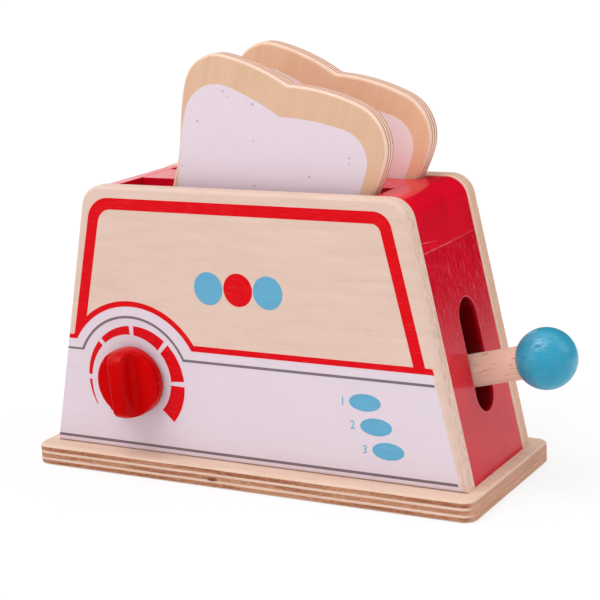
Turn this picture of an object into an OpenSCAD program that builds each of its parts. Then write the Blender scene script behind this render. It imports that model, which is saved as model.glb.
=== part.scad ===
// Toy pop-up toaster in birch plywood. Two slices of toast stand on a tilting cradle
// inside a slanted body, and a ball on a dowel at the right end rocks them up and down.
// The origin is the centre of the base plate's underside: +X right, +Y back, +Z up.

/* [Base plate] */
// Width of the base plate
base_w = 208; // [204:1:226]
// Depth of the base plate
base_d = 84.5; // [76:0.5:100]
// Thickness of the base plate
base_t = 9; // [7:0.5:14]
// Corner radius of the base plate in plan
base_corner = 5.5; // [3:0.5:12]
// Rounding of the base plate's arrises
base_ease = 1.2; // [0.5:0.1:2]

/* [Body] */
// Width of the front and back panels at the foot
body_w = 197; // [192:1:202]
// Width of the panels at the top, before their corners are rounded
body_top_w = 149; // [144:1:158]
// Height of the front and back panels
body_h = 115; // [112:1:122]
// Depth over the front and back panels
body_d = 67; // [65:0.5:72]
// Thickness of the front and back panels
panel_t = 8; // [7:0.5:9]
// Radius of the panels' top corners
panel_corner = 10; // [6:0.5:14]
// Rounding of the panels' outer arrises
panel_ease = 1.6; // [0.6:0.1:3]
// Rounding of the panels' inner arrises
panel_ease_in = 1; // [0.4:0.1:1.5]
// How far the red core lies inside the panels' outline
core_recess = 0.5; // [0.3:0.1:1.5]
// Thickness of the slanted end panels
end_t = 8; // [6:0.5:9]
// Height of the two blocks that close the top at its ends
block_h = 22; // [16:1:26]
// Height of the rail between the two toast slots
rail_h = 12; // [8:1:14]

/* [Toast] */
// Thickness of a slice
toast_t = 8; // [6:0.5:8.4]
// Width of a slice across its lobes
toast_w = 95.6; // [92:0.2:98]
// Width of a slice at its foot
toast_foot_w = 86.2; // [84:0.2:90]
// Height of a slice
toast_h = 101; // [94:1:110]
// Radius of the left lobe's outer corner
left_lobe_r = 16.3; // [10:0.1:20]
// Radius of the right lobe's outer corner
right_lobe_r = 18.5; // [10:0.1:20]
// Radius of the two flat arcs that make the crown
crown_r = 91; // [85:1:130]
// Distance from the crown's dip to the highest point of each crown arc
crown_x = 23; // [20:0.1:28]
// How far the dip lies to the left of the middle
dip_left = 1.4; // [0:0.1:5]
// Height over which the sides swell from foot width to lobe width
swell_h = 37.5; // [20:0.5:45]
// Radius of the foot's corners
foot_r = 5; // [2:0.5:8]
// Room in front of the front slice
front_toast_room = 4.5; // [2:0.5:5]
// Room between the front slice and the centre rail
front_lane_room = 6.4; // [1:0.2:7]
// Room between the rear slice and the centre rail
rear_lane_room = 1.1; // [0.6:0.1:4]
// Room behind the rear slice
rear_toast_room = 1; // [0.4:0.1:2]
// How much further than the cradle the rear slice leans
rear_lean = 1.4; // [0:0.1:1.5]

/* [Rocker] */
// Position of the rocker's pivot to the right of the middle
pivot_x = 17; // [12:0.5:20]
// Height of the pivot above the base plate
pivot_up = 31; // [29:0.5:34]
// Depth of the rocker's middle plane behind the body's middle
rocker_y = 2; // [0:0.5:4]
// Tilt of the cradle with the ball down
rest_tilt = 17.5; // [12:0.5:18]
// Width of the rocker block
block_w = 20; // [18:0.5:24]
// Height of the cradle's floor above the pivot
cradle_rise = 22.4; // [20:0.1:24]
// Thickness of the cradle board
cradle_t = 6; // [5:0.5:8]
// Distance from the pivot back to the middle of the slices
toast_reach = 34.3; // [32:0.1:35]
// Gap between the cradle and the front and back panels
cradle_room = 0.5; // [0.4:0.1:1]
// Height of the batten that keeps the slices apart
batten_h = 12; // [8:1:16]
// Height of the stop at the cradle's right end
stop_h = 8; // [5:0.5:12]
// Thickness of the stop
stop_t = 6; // [4:0.5:9]
// Diameter of the pivot pin
pin_d = 8; // [6:0.5:9]
// Depth of the pin's holes in the panels
pin_seat = 4; // [3:0.5:5]
// Wall of the spacers on the pin
spacer_wall = 2; // [1.5:0.5:4]

/* [Lever] */
// Diameter of the lever's dowel
rod_d = 13.6; // [11:0.1:14]
// Angle between the cradle and the dowel
rod_bend = 31.6; // [29:0.1:33]
// How far the dowel's axis passes below the pivot
rod_drop = 8.8; // [7:0.1:12]
// Distance along the dowel from the pivot to its inner end
rod_start = 8; // [7:0.5:12]
// Depth of the dowel's socket in the rocker block
rod_socket = 22; // [18:0.5:26]
// Wood left round the socket
socket_wall = 3.5; // [3:0.5:5]
// Radius of the rocker block round the pivot
boss_r = 12; // [9:0.5:13]
// How far the rocker block reaches to the left of the pivot
block_back = 14; // [10:1:20]
// Distance along the dowel from the pivot to the ball's centre
ball_reach = 102; // [98:0.5:112]
// Diameter of the ball
ball_d = 25; // [22:0.5:32]
// Depth of the ball's socket
ball_socket = 14; // [10:0.5:16]
// Side room of the dowel in the lever slot
slot_side = 1.75; // [1.5:0.25:4]
// Room of the dowel above the lowest point of the lever slot
slot_under = 10.5; // [4:0.1:12]

/* [Dial] */
// Position of the dial to the left of the middle
dial_left = 54.4; // [48:0.2:60]
// Height of the dial's centre above the base plate
dial_up = 32; // [26:0.5:40]
// Diameter of the knob
knob_d = 30; // [26:1:40]
// Height of the knob at its grip
knob_h = 14; // [12:0.5:20]
// Height of the knob at its rim
knob_rim = 7; // [6:0.5:10]
// Width of the grip along its crest
grip_w = 6; // [5:0.5:9]
// Radius of the two scoops that leave the grip
scoop_r = 8; // [7:0.5:20]
// Rounding of the knob's edge
knob_round = 5; // [1:0.5:5]
// Turn of the knob at rest
knob_turn = 4; // [-45:1:45]
// Diameter of the knob's screw
knob_screw_d = 4; // [3:0.5:5]
// Depth of the knob's screw hole
knob_hole = 8; // [5:0.5:9]
// Gap between the knob and the front panel
knob_gap = 1.2; // [1:0.1:2]
// Diameter of the knob's washers
washer_d = 12; // [10:0.5:16]
// Thickness of the washer under the screw's head
washer_t = 0.8; // [0.6:0.1:1.5]

/* [Fixings] */
// Diameter of the base screws
screw_d = 3; // [2.5:0.5:4]
// Length of the base screws
screw_len = 22; // [18:1:30]
// Height of the base screws' heads
screw_head_h = 1.6; // [1:0.1:2.2]
// Depth of the base screws' heads inside the base plate
screw_sink = 0.5; // [0.3:0.1:1]
// Base screws along each panel
screws_per_side = 3; // [2:1:5]
// Distance between the outermost base screws
screw_span = 140; // [120:2:160]
// Diameter of the glue dowels
dowel_d = 5; // [4:0.5:5]
// Length of the glue dowels in the core
dowel_in_core = 12; // [8:1:13]
// Length of the glue dowels in the panels
dowel_in_panel = 5; // [3:0.5:5]
// Length of the rail's glue dowels in the top blocks
dowel_in_block = 7; // [5:0.5:9]
// Height of the lowest glue dowels above the base plate
dowel_low = 12; // [10:1:16]
// Distance of the upper glue dowels below the top blocks
dowel_below_block = 9; // [6:1:14]

/* [Fits] */
// Radial clearance of what turns on a pin or screw
run_gap = 0.05; // [0.02:0.01:0.1]
// Gap between faces that move past each other
face_gap = 0.3; // [0.3:0.05:0.5]
// Radial clearance of a loose hole
loose_gap = 0.2; // [0.1:0.05:0.3]

/* [Hidden] */
$fn = 72;

birch = "BurlyWood";
beech = "Peru";
red = "Crimson";
blue = "SteelBlue";
steel = "Silver";
crust = "Tan";

// Steps of a round corner and of an eased arris, and the overrun of a cutting solid
arc_steps = 9;
ease_steps = 3;
over = 1;

inner_y = body_d / 2 - panel_t;
core_top = base_t + body_h - core_recess;
block_z = core_top - block_h;
end_slope = atan((body_w - body_top_w) / 2 / body_h);

front_toast_y = -inner_y + front_toast_room;
rear_toast_y = inner_y - rear_toast_room - toast_t;
rail_y0 = front_toast_y + toast_t + front_lane_room;
rail_y1 = rear_toast_y - rear_lane_room;

pivot_z = base_t + pivot_up;
dial_z = base_t + dial_up;
pin_r = pin_d / 2;
rod_r = rod_d / 2;
ball_r = ball_d / 2;
dowel_r = dowel_d / 2;
screw_r = screw_d / 2;
knob_screw_r = knob_screw_d / 2;

// Points of an arc about c from angle a0 to a1, and the same without its first point
function arc(c, r, a0, a1, first = 0) =
    [for (i = [first : arc_steps])
        let (a = a0 + (a1 - a0) * i / arc_steps)
        c + r * [cos(a), sin(a)]];
function arc_on(c, r, a0, a1) = arc(c, r, a0, a1, 1);

// Points turned over in x, from the last to the first
function mirrored(pts) = [for (i = [len(pts) - 1 : -1 : 0]) [-pts[i][0], pts[i][1]]];
function but_last(pts) = [for (i = [0 : len(pts) - 2]) pts[i]];

// Half width of the body at height z, at this inset from the panels' sloping edges
function body_half(z, inset) = body_w / 2 - (z - base_t) * tan(end_slope) - inset / cos(end_slope);

// Outline of a panel, or of the core at its inset: straight foot, sloping sides, round corners
function body_side(inset) =
    let (r = panel_corner - inset)
    let (z = base_t + body_h - panel_corner)
    let (c = [body_half(z, inset) - r / cos(end_slope), z])
    concat([[body_half(base_t, inset), base_t]], arc(c, r, end_slope, 90));
function body_outline(inset) = concat(body_side(inset), mirrored(body_side(inset)));

// Outline of the base plate at an inset from its edge
function base_side(inset) =
    let (x = base_w / 2 - base_corner)
    let (y = base_d / 2 - base_corner)
    let (r = base_corner - inset)
    concat(arc([x, -y], r, -90, 0), arc([x, y], r, 0, 90));
function base_outline(inset) = concat(base_side(inset), mirrored(base_side(inset)));

// Centres of the crown's arc and of the lobe on one side of a slice (1 right, -1 left),
// and the slice's half width there at height v above its foot
function crown_centre(side) = [crown_x - side * dip_left, toast_h - crown_r];
function lobe_centre(side, r) =
    let (crown = crown_centre(side))
    let (x = toast_w / 2 - r)
    [x, crown[1] + sqrt(pow(crown_r - r, 2) - pow(x - crown[0], 2))];
lobes = [[right_lobe_r, lobe_centre(1, right_lobe_r)], [left_lobe_r, lobe_centre(-1, left_lobe_r)]];
function lobe_of(side) = side > 0 ? lobes[0] : lobes[1];
function swelling(v) = (1 - cos(180 * min(1, max(0, v / swell_h + 1)))) / 2;
function toast_half(side, v) =
    toast_foot_w / 2 + (toast_w - toast_foot_w) / 2 * swelling(v - lobe_of(side)[1][1]);

// Outline of a slice: rounded foot, swelling sides, lobes, and a crown with a dip
function toast_side(side) =
    let (r = lobe_of(side)[0])
    let (lobe = lobe_of(side)[1])
    let (crown = crown_centre(side))
    let (join = atan2(lobe[1] - crown[1], lobe[0] - crown[0]))
    concat(arc([toast_foot_w / 2 - foot_r, foot_r], foot_r, -90, 0),
        [for (i = [0 : arc_steps])
            let (v = lobe[1] - swell_h * (1 - i / arc_steps))
            [toast_half(side, v), v]],
        arc_on(lobe, r, 0, join),
        arc_on(crown, crown_r, join, acos(-crown_x / crown_r)));
function toast_outline() = concat(toast_side(1), mirrored(but_last(toast_side(-1))));

// Ends of the toast slots: the tilted slices' right edges and the upright slices' left edges
foot_rise = cradle_rise + face_gap;
top_rise = core_top - pivot_z;
right_v = (top_rise + (toast_w / 2 - toast_reach) * sin(rest_tilt)) / cos(rest_tilt) - foot_rise;
slot_x1 = pivot_x + (toast_half(1, right_v) - toast_reach) / cos(rest_tilt) + top_rise * tan(rest_tilt)
    + right_v * tan(rear_lean) + face_gap;
slot_x0 = pivot_x - toast_reach - toast_half(-1, top_rise - foot_rise) - 2 * face_gap;

// The cradle in its own frame, whose origin is the pivot: u along it, w up
foot_u = toast_foot_w / 2 - toast_reach;
stop_u = foot_u + face_gap;
cradle_u0 = -toast_reach - toast_foot_w / 2 - face_gap;
cradle_u1 = stop_u + stop_t;
cradle_w0 = cradle_rise - cradle_t;
batten_y0 = front_toast_y + toast_t + face_gap;
batten_y1 = rear_toast_y - face_gap;

// Point at this distance along the dowel's axis and above it, in the cradle's frame
function on_rod(along, up = 0) =
    along * [cos(rod_bend), sin(rod_bend)] + (up - rod_drop) * [-sin(rod_bend), cos(rod_bend)];
rod_end = ball_reach - ball_r + ball_socket;
socket_end = rod_start + rod_socket;
socket_side = rod_r + socket_wall;

// Where the dowel's axis crosses the right end panel's outer face at a tilt of the cradle
face_foot = [body_half(base_t, core_recess), base_t];
face_out = [cos(end_slope), sin(end_slope)];
face_up = [-sin(end_slope), cos(end_slope)];
function rod_cross(tilt) =
    let (a = rod_bend - tilt)
    let (p = [pivot_x, pivot_z] + rod_drop * [sin(a), -cos(a)] - face_foot)
    let (d = [cos(a), sin(a)])
    (p - (p * face_out) / (d * face_out) * d) * face_up;
function rod_half(tilt) = rod_r / cos(rod_bend - tilt - end_slope);
slot_r = rod_r + slot_side;
slot_top = rod_cross(0) + rod_half(0) + face_gap;
slot_foot = rod_cross(rest_tilt) - rod_half(rest_tilt) - slot_under;

// Places of the glue dowels in a panel's face, as x and z
dowel_heights = [base_t + dowel_low, block_z - dowel_below_block];
block_mid_z = core_top - block_h / 2;
dowel_spots = concat(
    [for (z = dowel_heights, side = [-1, 1]) [side * body_half(z, core_recess + end_t / 2), z]],
    [[(slot_x1 + body_half(block_mid_z, core_recess)) / 2, block_mid_z],
        [(slot_x0 - body_half(block_mid_z, core_recess)) / 2, block_mid_z]]);

screw_xs = [for (i = [0 : screws_per_side - 1]) screw_span * (i / (screws_per_side - 1) - 1 / 2)];
screw_y = inner_y + panel_t / 2;
screw_tip = screw_sink + screw_len;

// Plate with rounded arrises: ease_in at its foot on z = 0, ease_out at its top
module eased_plate(t, ease_in, ease_out, outline) {
    hull() {
        for (i = [0 : ease_steps]) {
            a = 90 * i / ease_steps;
            translate([0, 0, ease_in * (1 - sin(a))])
                linear_extrude(t / 2 - ease_in * (1 - sin(a)))
                    polygon(outline(ease_in * (1 - cos(a))));
            translate([0, 0, t / 2])
                linear_extrude(t / 2 - ease_out * (1 - sin(a)))
                    polygon(outline(ease_out * (1 - cos(a))));
        }
    }
}

// Solid that a profile in x and z sweeps from y0 to y1
module along_y(y0, y1) {
    translate([0, y1, 0])
        rotate([90, 0, 0])
            linear_extrude(y1 - y0)
                children();
}

// Rod along y from y0 to y1 at a place in x and z
module rod_y(place, r, y0, y1) {
    translate([place[0], y1, place[1]])
        rotate([90, 0, 0])
            cylinder(r = r, h = y1 - y0);
}

// The cradle's frame at rest
module in_rocker() {
    translate([pivot_x, 0, pivot_z])
        rotate([0, rest_tilt, 0])
            children();
}

// Solid on the dowel's axis in the cradle's frame, starting this far along it
module on_rod_axis(along) {
    translate([on_rod(along)[0], rocker_y, on_rod(along)[1]])
        rotate([0, 90 - rod_bend, 0])
            children();
}

// The dial's frame: z comes straight out of the front panel's face
module in_dial() {
    translate([-dial_left, -body_d / 2, dial_z])
        rotate([90, 0, 0])
            children();
}

module panel_dowels(side) {
    for (spot = dowel_spots) {
        y = [side * (inner_y - dowel_in_core), side * (inner_y + dowel_in_panel)];
        rod_y(spot, dowel_r, min(y), max(y));
    }
}

module screw_holes(side) {
    for (x = screw_xs)
        translate([x, side * screw_y, 0])
            cylinder(r = screw_r, h = screw_tip + over);
}

// Front or back panel, before the dial's hole is drilled
module side_panel(side) {
    difference() {
        rotate([side * -90, 0, 0])
            scale([1, side * -1, 1])
                translate([0, 0, inner_y])
                    eased_plate(panel_t, panel_ease_in, panel_ease, function (inset) body_outline(inset));
        panel_dowels(side);
        screw_holes(side);
        rod_y([pivot_x, pivot_z], pin_r, -inner_y - pin_seat, inner_y + pin_seat);
    }
}

module end_panel_blank(side) {
    z = [base_t, block_z];
    inner = core_recess + end_t;
    along_y(-inner_y, inner_y)
        polygon([
            [side * body_half(z[0], core_recess), z[0]],
            [side * body_half(z[1], core_recess), z[1]],
            [side * body_half(z[1], inner), z[1]],
            [side * body_half(z[0], inner), z[0]]
        ]);
}

module top_block(x0, x1) {
    difference() {
        along_y(-inner_y, inner_y)
            intersection() {
                polygon(body_outline(core_recess));
                translate([x0, block_z])
                    square([x1 - x0, block_h + over]);
            }
        panel_dowels(-1);
        panel_dowels(1);
        rail_dowels();
    }
}

module spacer(y0, y1) {
    color(beech)
        difference() {
            rod_y([pivot_x, pivot_z], pin_r + spacer_wall, y0, y1);
            rod_y([pivot_x, pivot_z], pin_r + loose_gap, y0 - over, y1 + over);
        }
}

// A slice standing on the cradle, with its front face at y and a lean about its right side
module toast(y, lean) {
    color(crust)
        in_rocker()
            translate([foot_u, 0, foot_rise + stop_h])
                rotate([0, lean, 0])
                    translate([-foot_u - toast_reach, 0, -stop_h])
                        along_y(y, y + toast_t)
                            polygon(toast_outline());
}

module base_plate() {
    color(birch)
        difference() {
            eased_plate(base_t, base_ease, base_ease, function (inset) base_outline(inset));
            for (x = screw_xs, side = [-1, 1])
                translate([x, side * screw_y, 0]) {
                    translate([0, 0, -over])
                        cylinder(r = screw_r + loose_gap, h = base_t + 2 * over);
                    translate([0, 0, -over])
                        cylinder(r = screw_d + loose_gap, h = screw_sink + over);
                    translate([0, 0, screw_sink])
                        cylinder(r1 = screw_d + loose_gap, r2 = screw_r + loose_gap, h = screw_head_h);
                }
        }
}

module front_panel() {
    color(birch)
        difference() {
            side_panel(-1);
            rod_y([-dial_left, dial_z], knob_screw_r + run_gap, -body_d / 2 - over, -inner_y + over);
        }
}

module back_panel() {
    color(birch)
        side_panel(1);
}

module left_end_panel() {
    color(red)
        difference() {
            end_panel_blank(-1);
            panel_dowels(-1);
            panel_dowels(1);
        }
}

module right_end_panel() {
    color(red)
        difference() {
            end_panel_blank(1);
            panel_dowels(-1);
            panel_dowels(1);
            translate([face_foot[0], rocker_y, face_foot[1]])
                rotate([0, 90 - end_slope, 0])
                    translate([0, 0, -end_t - over]) {
                        for (along = [slot_foot + slot_r, slot_top - slot_r])
                            translate([-along, 0, 0])
                                cylinder(r = slot_r, h = end_t + 2 * over);
                        translate([-slot_top + slot_r, -slot_r, 0])
                            cube([slot_top - slot_foot - 2 * slot_r, 2 * slot_r, end_t + 2 * over]);
                    }
        }
}

module left_top_block() {
    color(red)
        top_block(-body_w, slot_x0);
}

module right_top_block() {
    color(red)
        top_block(slot_x1, body_w);
}

module centre_rail() {
    color(red)
        difference() {
            translate([slot_x0, rail_y0, core_top - rail_h])
                cube([slot_x1 - slot_x0, rail_y1 - rail_y0, rail_h]);
            rail_dowels();
        }
}

module front_dowels() {
    color(beech)
        panel_dowels(-1);
}

module back_dowels() {
    color(beech)
        panel_dowels(1);
}

module rail_dowels() {
    color(beech)
        for (x = [slot_x0 - dowel_in_block, slot_x1 - dowel_in_core])
            translate([x, (rail_y0 + rail_y1) / 2, core_top - rail_h / 2])
                rotate([0, 90, 0])
                    cylinder(r = dowel_r, h = dowel_in_block + dowel_in_core);
}

module base_screws() {
    drive = [screw_d * 1.1, screw_d / 4, screw_head_h / 2];
    color(steel)
        for (x = screw_xs, side = [-1, 1])
            translate([x, side * screw_y, screw_sink])
                difference() {
                    union() {
                        cylinder(r1 = screw_d, r2 = screw_r, h = screw_head_h);
                        cylinder(r = screw_r, h = screw_len);
                    }
                    for (turn = [0, 90])
                        rotate([0, 0, turn])
                            translate([-drive[0] / 2, -drive[1] / 2, -drive[2]])
                                cube([drive[0], drive[1], 2 * drive[2]]);
                }
}

module pivot_pin() {
    color(beech)
        rod_y([pivot_x, pivot_z], pin_r, -inner_y - pin_seat, inner_y + pin_seat);
}

module front_spacer() {
    spacer(-inner_y, rocker_y - block_w / 2 - face_gap);
}

module rear_spacer() {
    spacer(rocker_y + block_w / 2 + face_gap, inner_y);
}

module rocker_block() {
    color(beech)
        in_rocker()
            difference() {
                along_y(rocker_y - block_w / 2, rocker_y + block_w / 2)
                    polygon(concat(
                        [
                            [-block_back, cradle_w0],
                            [cradle_u1, cradle_w0],
                            on_rod(socket_end, socket_side),
                            on_rod(socket_end, -socket_side),
                            on_rod(0, -socket_side)
                        ],
                        arc([0, 0], boss_r, -75, -180)));
                rod_y([0, 0], pin_r + run_gap, rocker_y - block_w, rocker_y + block_w);
                on_rod_axis(rod_start)
                    cylinder(r = rod_r, h = rod_socket + over);
            }
}

module cradle_board() {
    y = inner_y - cradle_room;
    color(birch)
        in_rocker()
            translate([cradle_u0, -y, cradle_w0])
                cube([cradle_u1 - cradle_u0, 2 * y, cradle_t]);
}

module cradle_batten() {
    color(birch)
        in_rocker()
            translate([cradle_u0, batten_y0, cradle_rise])
                cube([stop_u - cradle_u0, batten_y1 - batten_y0, batten_h]);
}

module cradle_stop() {
    y = inner_y - cradle_room;
    color(birch)
        in_rocker()
            translate([stop_u, -y, cradle_rise])
                cube([stop_t, 2 * y, stop_h]);
}

module lever_rod() {
    color(beech)
        in_rocker()
            on_rod_axis(rod_start)
                cylinder(r = rod_r, h = rod_end - rod_start);
}

module lever_ball() {
    color(blue)
        in_rocker()
            difference() {
                on_rod_axis(ball_reach)
                    sphere(r = ball_r);
                on_rod_axis(ball_reach - ball_d)
                    cylinder(r = rod_r, h = rod_end - ball_reach + ball_d);
            }
}

module front_toast() {
    toast(front_toast_y, 0);
}

module rear_toast() {
    toast(rear_toast_y, rear_lean);
}

module dial_knob() {
    r = knob_d / 2;
    rim_r = r - knob_round;
    scoop_up = knob_rim + scoop_r;
    scoop_x = grip_w / 2 + sqrt(pow(scoop_r, 2) - pow(scoop_up - knob_h, 2));
    color(red)
        in_dial()
            translate([0, 0, knob_gap])
                rotate([0, 0, knob_turn])
                    difference() {
                        rotate_extrude()
                            union() {
                                square([rim_r, knob_h]);
                                square([r, knob_h - knob_round]);
                                translate([rim_r, knob_h - knob_round])
                                    circle(r = knob_round);
                            }
                        for (side = [-1, 1])
                            translate([side * scoop_x, r + over, scoop_up])
                                rotate([90, 0, 0])
                                    cylinder(r = scoop_r, h = knob_d + 2 * over);
                        translate([0, 0, -over])
                            cylinder(r = knob_screw_r, h = knob_hole + over);
                    }
}

module knob_screw() {
    back = panel_t + face_gap + washer_t;
    color(steel)
        in_dial()
            translate([0, 0, -back])
                difference() {
                    union() {
                        translate([0, 0, -knob_screw_r])
                            cylinder(r = knob_screw_d, h = knob_screw_r);
                        cylinder(r = knob_screw_r, h = back + knob_gap + knob_hole);
                    }
                    for (turn = [0, 90])
                        rotate([0, 0, turn])
                            cube([knob_screw_d, knob_screw_d / 4, knob_screw_d * 0.7], center = true);
                }
}

module washer(z, t) {
    color(steel)
        in_dial()
            translate([0, 0, z])
                difference() {
                    cylinder(r = washer_d / 2, h = t);
                    translate([0, 0, -over])
                        cylinder(r = knob_screw_r, h = t + 2 * over);
                }
}

module knob_front_washer() {
    washer(face_gap, knob_gap - face_gap);
}

module knob_back_washer() {
    washer(-panel_t - face_gap - washer_t, washer_t);
}

base_plate();
front_panel();
back_panel();
left_end_panel();
right_end_panel();
left_top_block();
right_top_block();
centre_rail();
front_dowels();
back_dowels();
rail_dowels();
base_screws();
pivot_pin();
front_spacer();
rear_spacer();
rocker_block();
cradle_board();
cradle_batten();
cradle_stop();
lever_rod();
lever_ball();
front_toast();
rear_toast();
dial_knob();
knob_screw();
knob_front_washer();
knob_back_washer();
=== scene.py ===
"""Looks of the wooden toy toaster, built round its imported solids.

The pieces are modelled in millimetres, in the frame of the solids (+X right, +Y back, +Z up,
origin in the middle of the base plate's underside), and scaled to metres when they are done.
"""

import logging
import math
from dataclasses import dataclass, replace
from enum import Enum
from typing import Callable, Iterable, Sequence

import bmesh
import bpy
from mathutils import Euler, Matrix, Vector


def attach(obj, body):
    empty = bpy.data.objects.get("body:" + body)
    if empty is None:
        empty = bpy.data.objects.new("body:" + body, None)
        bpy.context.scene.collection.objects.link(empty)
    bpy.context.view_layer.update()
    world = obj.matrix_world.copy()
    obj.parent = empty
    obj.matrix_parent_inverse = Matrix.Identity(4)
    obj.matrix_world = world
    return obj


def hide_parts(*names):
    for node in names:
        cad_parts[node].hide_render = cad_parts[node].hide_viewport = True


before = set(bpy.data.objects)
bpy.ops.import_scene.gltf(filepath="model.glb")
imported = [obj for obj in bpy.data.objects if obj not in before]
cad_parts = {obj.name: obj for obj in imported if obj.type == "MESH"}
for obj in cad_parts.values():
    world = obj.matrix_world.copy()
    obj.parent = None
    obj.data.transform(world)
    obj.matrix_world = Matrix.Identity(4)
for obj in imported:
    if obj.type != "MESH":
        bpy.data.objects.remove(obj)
bpy.context.view_layer.update()

LOG = logging.getLogger("toaster")
MM = 0.001  # a millimetre in metres
TINY = 1e-4  # distance under which two places count as one
PAST = 1.0  # how far a cutter reaches past what it cuts
DIAL_CENTRE = (-54.4, 41.0)
LEVER_Y = 2.0

Point = tuple[float, float]
Place = tuple[float, float, float]
Colour = tuple[float, float, float, float]
Mesh = bmesh.types.BMesh
Edge = bmesh.types.BMEdge
Piece = bpy.types.Object
Material = bpy.types.Material
Tree = bpy.types.NodeTree
Node = bpy.types.Node
Socket = bpy.types.NodeSocket


class Body(Enum):
    """The bodies that pieces ride on."""

    TOASTER = "toaster_body"
    ROCKER = "rocker"
    FRONT_SLICE = "front_slice"
    REAR_SLICE = "rear_slice"
    DIAL = "dial"


class Slot(Enum):
    """Names of the record's material slots."""

    BIRCH = "birch_plywood"
    RED = "red_lacquer"
    BEECH = "beech"
    BLUE = "blue_lacquer"
    TOAST = "toast_plywood"
    KNOB = "red_knob_lacquer"


def rgb(red: float, green: float, blue: float) -> Colour:
    """Linear colour of three display values.

    Args:
        red: Red from 0 to 255.
        green: Green from 0 to 255.
        blue: Blue from 0 to 255.

    Returns:
        The colour as Blender's sockets take it.
    """

    def linear(value: float) -> float:
        """One channel, made linear."""
        share = value / 255
        return share / 12.92 if share <= 0.04045 else ((share + 0.055) / 1.055) ** 2.4

    return linear(red), linear(green), linear(blue), 1.0


def dimmed(colour: Colour, share: float) -> Colour:
    """A share of a colour, still opaque."""
    return tuple(c * share for c in colour[:3]) + (1.0,)


# --------------------------------------------------------------------------------------
# Outlines
# --------------------------------------------------------------------------------------


def polar(centre: Point, radius: float, degrees: float) -> Point:
    """Point at a distance and an angle from a centre."""
    angle = math.radians(degrees)
    return centre[0] + radius * math.cos(angle), centre[1] + radius * math.sin(angle)


def arc(centre: Point, radius: float, start: float, end: float, steps: int) -> list[Point]:
    """Points of an arc between two angles in degrees, both ends included."""
    return [polar(centre, radius, start + (end - start) * i / steps) for i in range(steps + 1)]


def oval(centre: Point, size: Point, steps: int = 48) -> list[Point]:
    """Points of an ellipse of a width and a height."""
    turns = [math.tau * i / steps for i in range(steps)]
    return [(centre[0] + size[0] / 2 * math.cos(a), centre[1] + size[1] / 2 * math.sin(a)) for a in turns]


def rounded(corners: Sequence[tuple[float, float, float]], steps: int = 10) -> list[Point]:
    """Outline through corners, each with its own radius.

    Args:
        corners: Corner places with a radius each; a radius of 0 keeps the corner sharp.
        steps: Chords of each round corner.

    Returns:
        The outline's points in order.
    """
    points: list[Point] = []
    for i, (x, z, radius) in enumerate(corners):
        if not radius:
            points.append((x, z))
            continue
        here = Vector((x, z))
        before = (Vector(corners[i - 1][:2]) - here).normalized()
        after = (Vector(corners[(i + 1) % len(corners)][:2]) - here).normalized()
        half = before.angle(after) / 2
        centre = here + (before + after).normalized() * (radius / math.sin(half))
        first = here + before * (radius / math.tan(half)) - centre
        last = here + after * (radius / math.tan(half)) - centre
        turn = first.angle_signed(last)
        for k in range(steps + 1):
            points.append(tuple(centre + Matrix.Rotation(-turn * k / steps, 2) @ first))
    return points


@dataclass(frozen=True)
class BodyShape:
    """Side view of the slanted body and its measures in depth."""

    foot_half: float = 98.5
    top_half: float = 74.5
    foot_z: float = 9.0
    height: float = 115.0
    corner: float = 10.0
    corner_steps: int = 20
    depth: float = 67.0
    panel: float = 8.0
    core_recess: float = 0.5
    end_panel: float = 8.0
    block: float = 22.0

    @property
    def slope(self) -> float:
        """Angle in radians by which the ends lean inwards."""
        return math.atan((self.foot_half - self.top_half) / self.height)

    @property
    def face_y(self) -> float:
        """Depth coordinate of the front face."""
        return -self.depth / 2

    @property
    def inner_y(self) -> float:
        """Half depth of the core between the panels."""
        return self.depth / 2 - self.panel

    @property
    def core_top(self) -> float:
        """Height of the core's top."""
        return self.foot_z + self.height - self.core_recess

    @property
    def block_z(self) -> float:
        """Height at which the top blocks stand on the end panels."""
        return self.core_top - self.block

    @property
    def core_foot(self) -> Point:
        """Foot of the core's right side, as x and z."""
        return self.half_width(self.foot_z, self.core_recess), self.foot_z

    def half_width(self, z: float, inset: float = 0.0) -> float:
        """Half width at a height, at a distance inside the panels' sloping edges."""
        return self.foot_half - (z - self.foot_z) * math.tan(self.slope) - inset / math.cos(self.slope)

    def side(self, inset: float) -> list[Point]:
        """Right side of the outline, from the foot up to the top.

        Args:
            inset: Distance inside the panels' outline.

        Returns:
            Points as x and z.
        """
        radius = self.corner - inset
        z = self.foot_z + self.height - self.corner
        centre = (self.half_width(z, inset) - radius / math.cos(self.slope), z)
        corner = arc(centre, radius, math.degrees(self.slope), 90, self.corner_steps)
        return [(self.half_width(self.foot_z, inset), self.foot_z)] + corner

    def outline(self, inset: float) -> list[Point]:
        """Whole outline at an inset, as x and z, anticlockwise seen from the front."""
        right = self.side(inset)
        return right + [(-x, z) for x, z in reversed(right)]


BODY = BodyShape()


# --------------------------------------------------------------------------------------
# Modelling
# --------------------------------------------------------------------------------------


def turn_by(degrees: float, axis: str) -> Matrix:
    """Turn about an axis."""
    return Matrix.Rotation(math.radians(degrees), 4, axis)


def move_by(x: float, y: float, z: float) -> Matrix:
    """Move along the three axes."""
    return Matrix.Translation((x, y, z))


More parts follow.
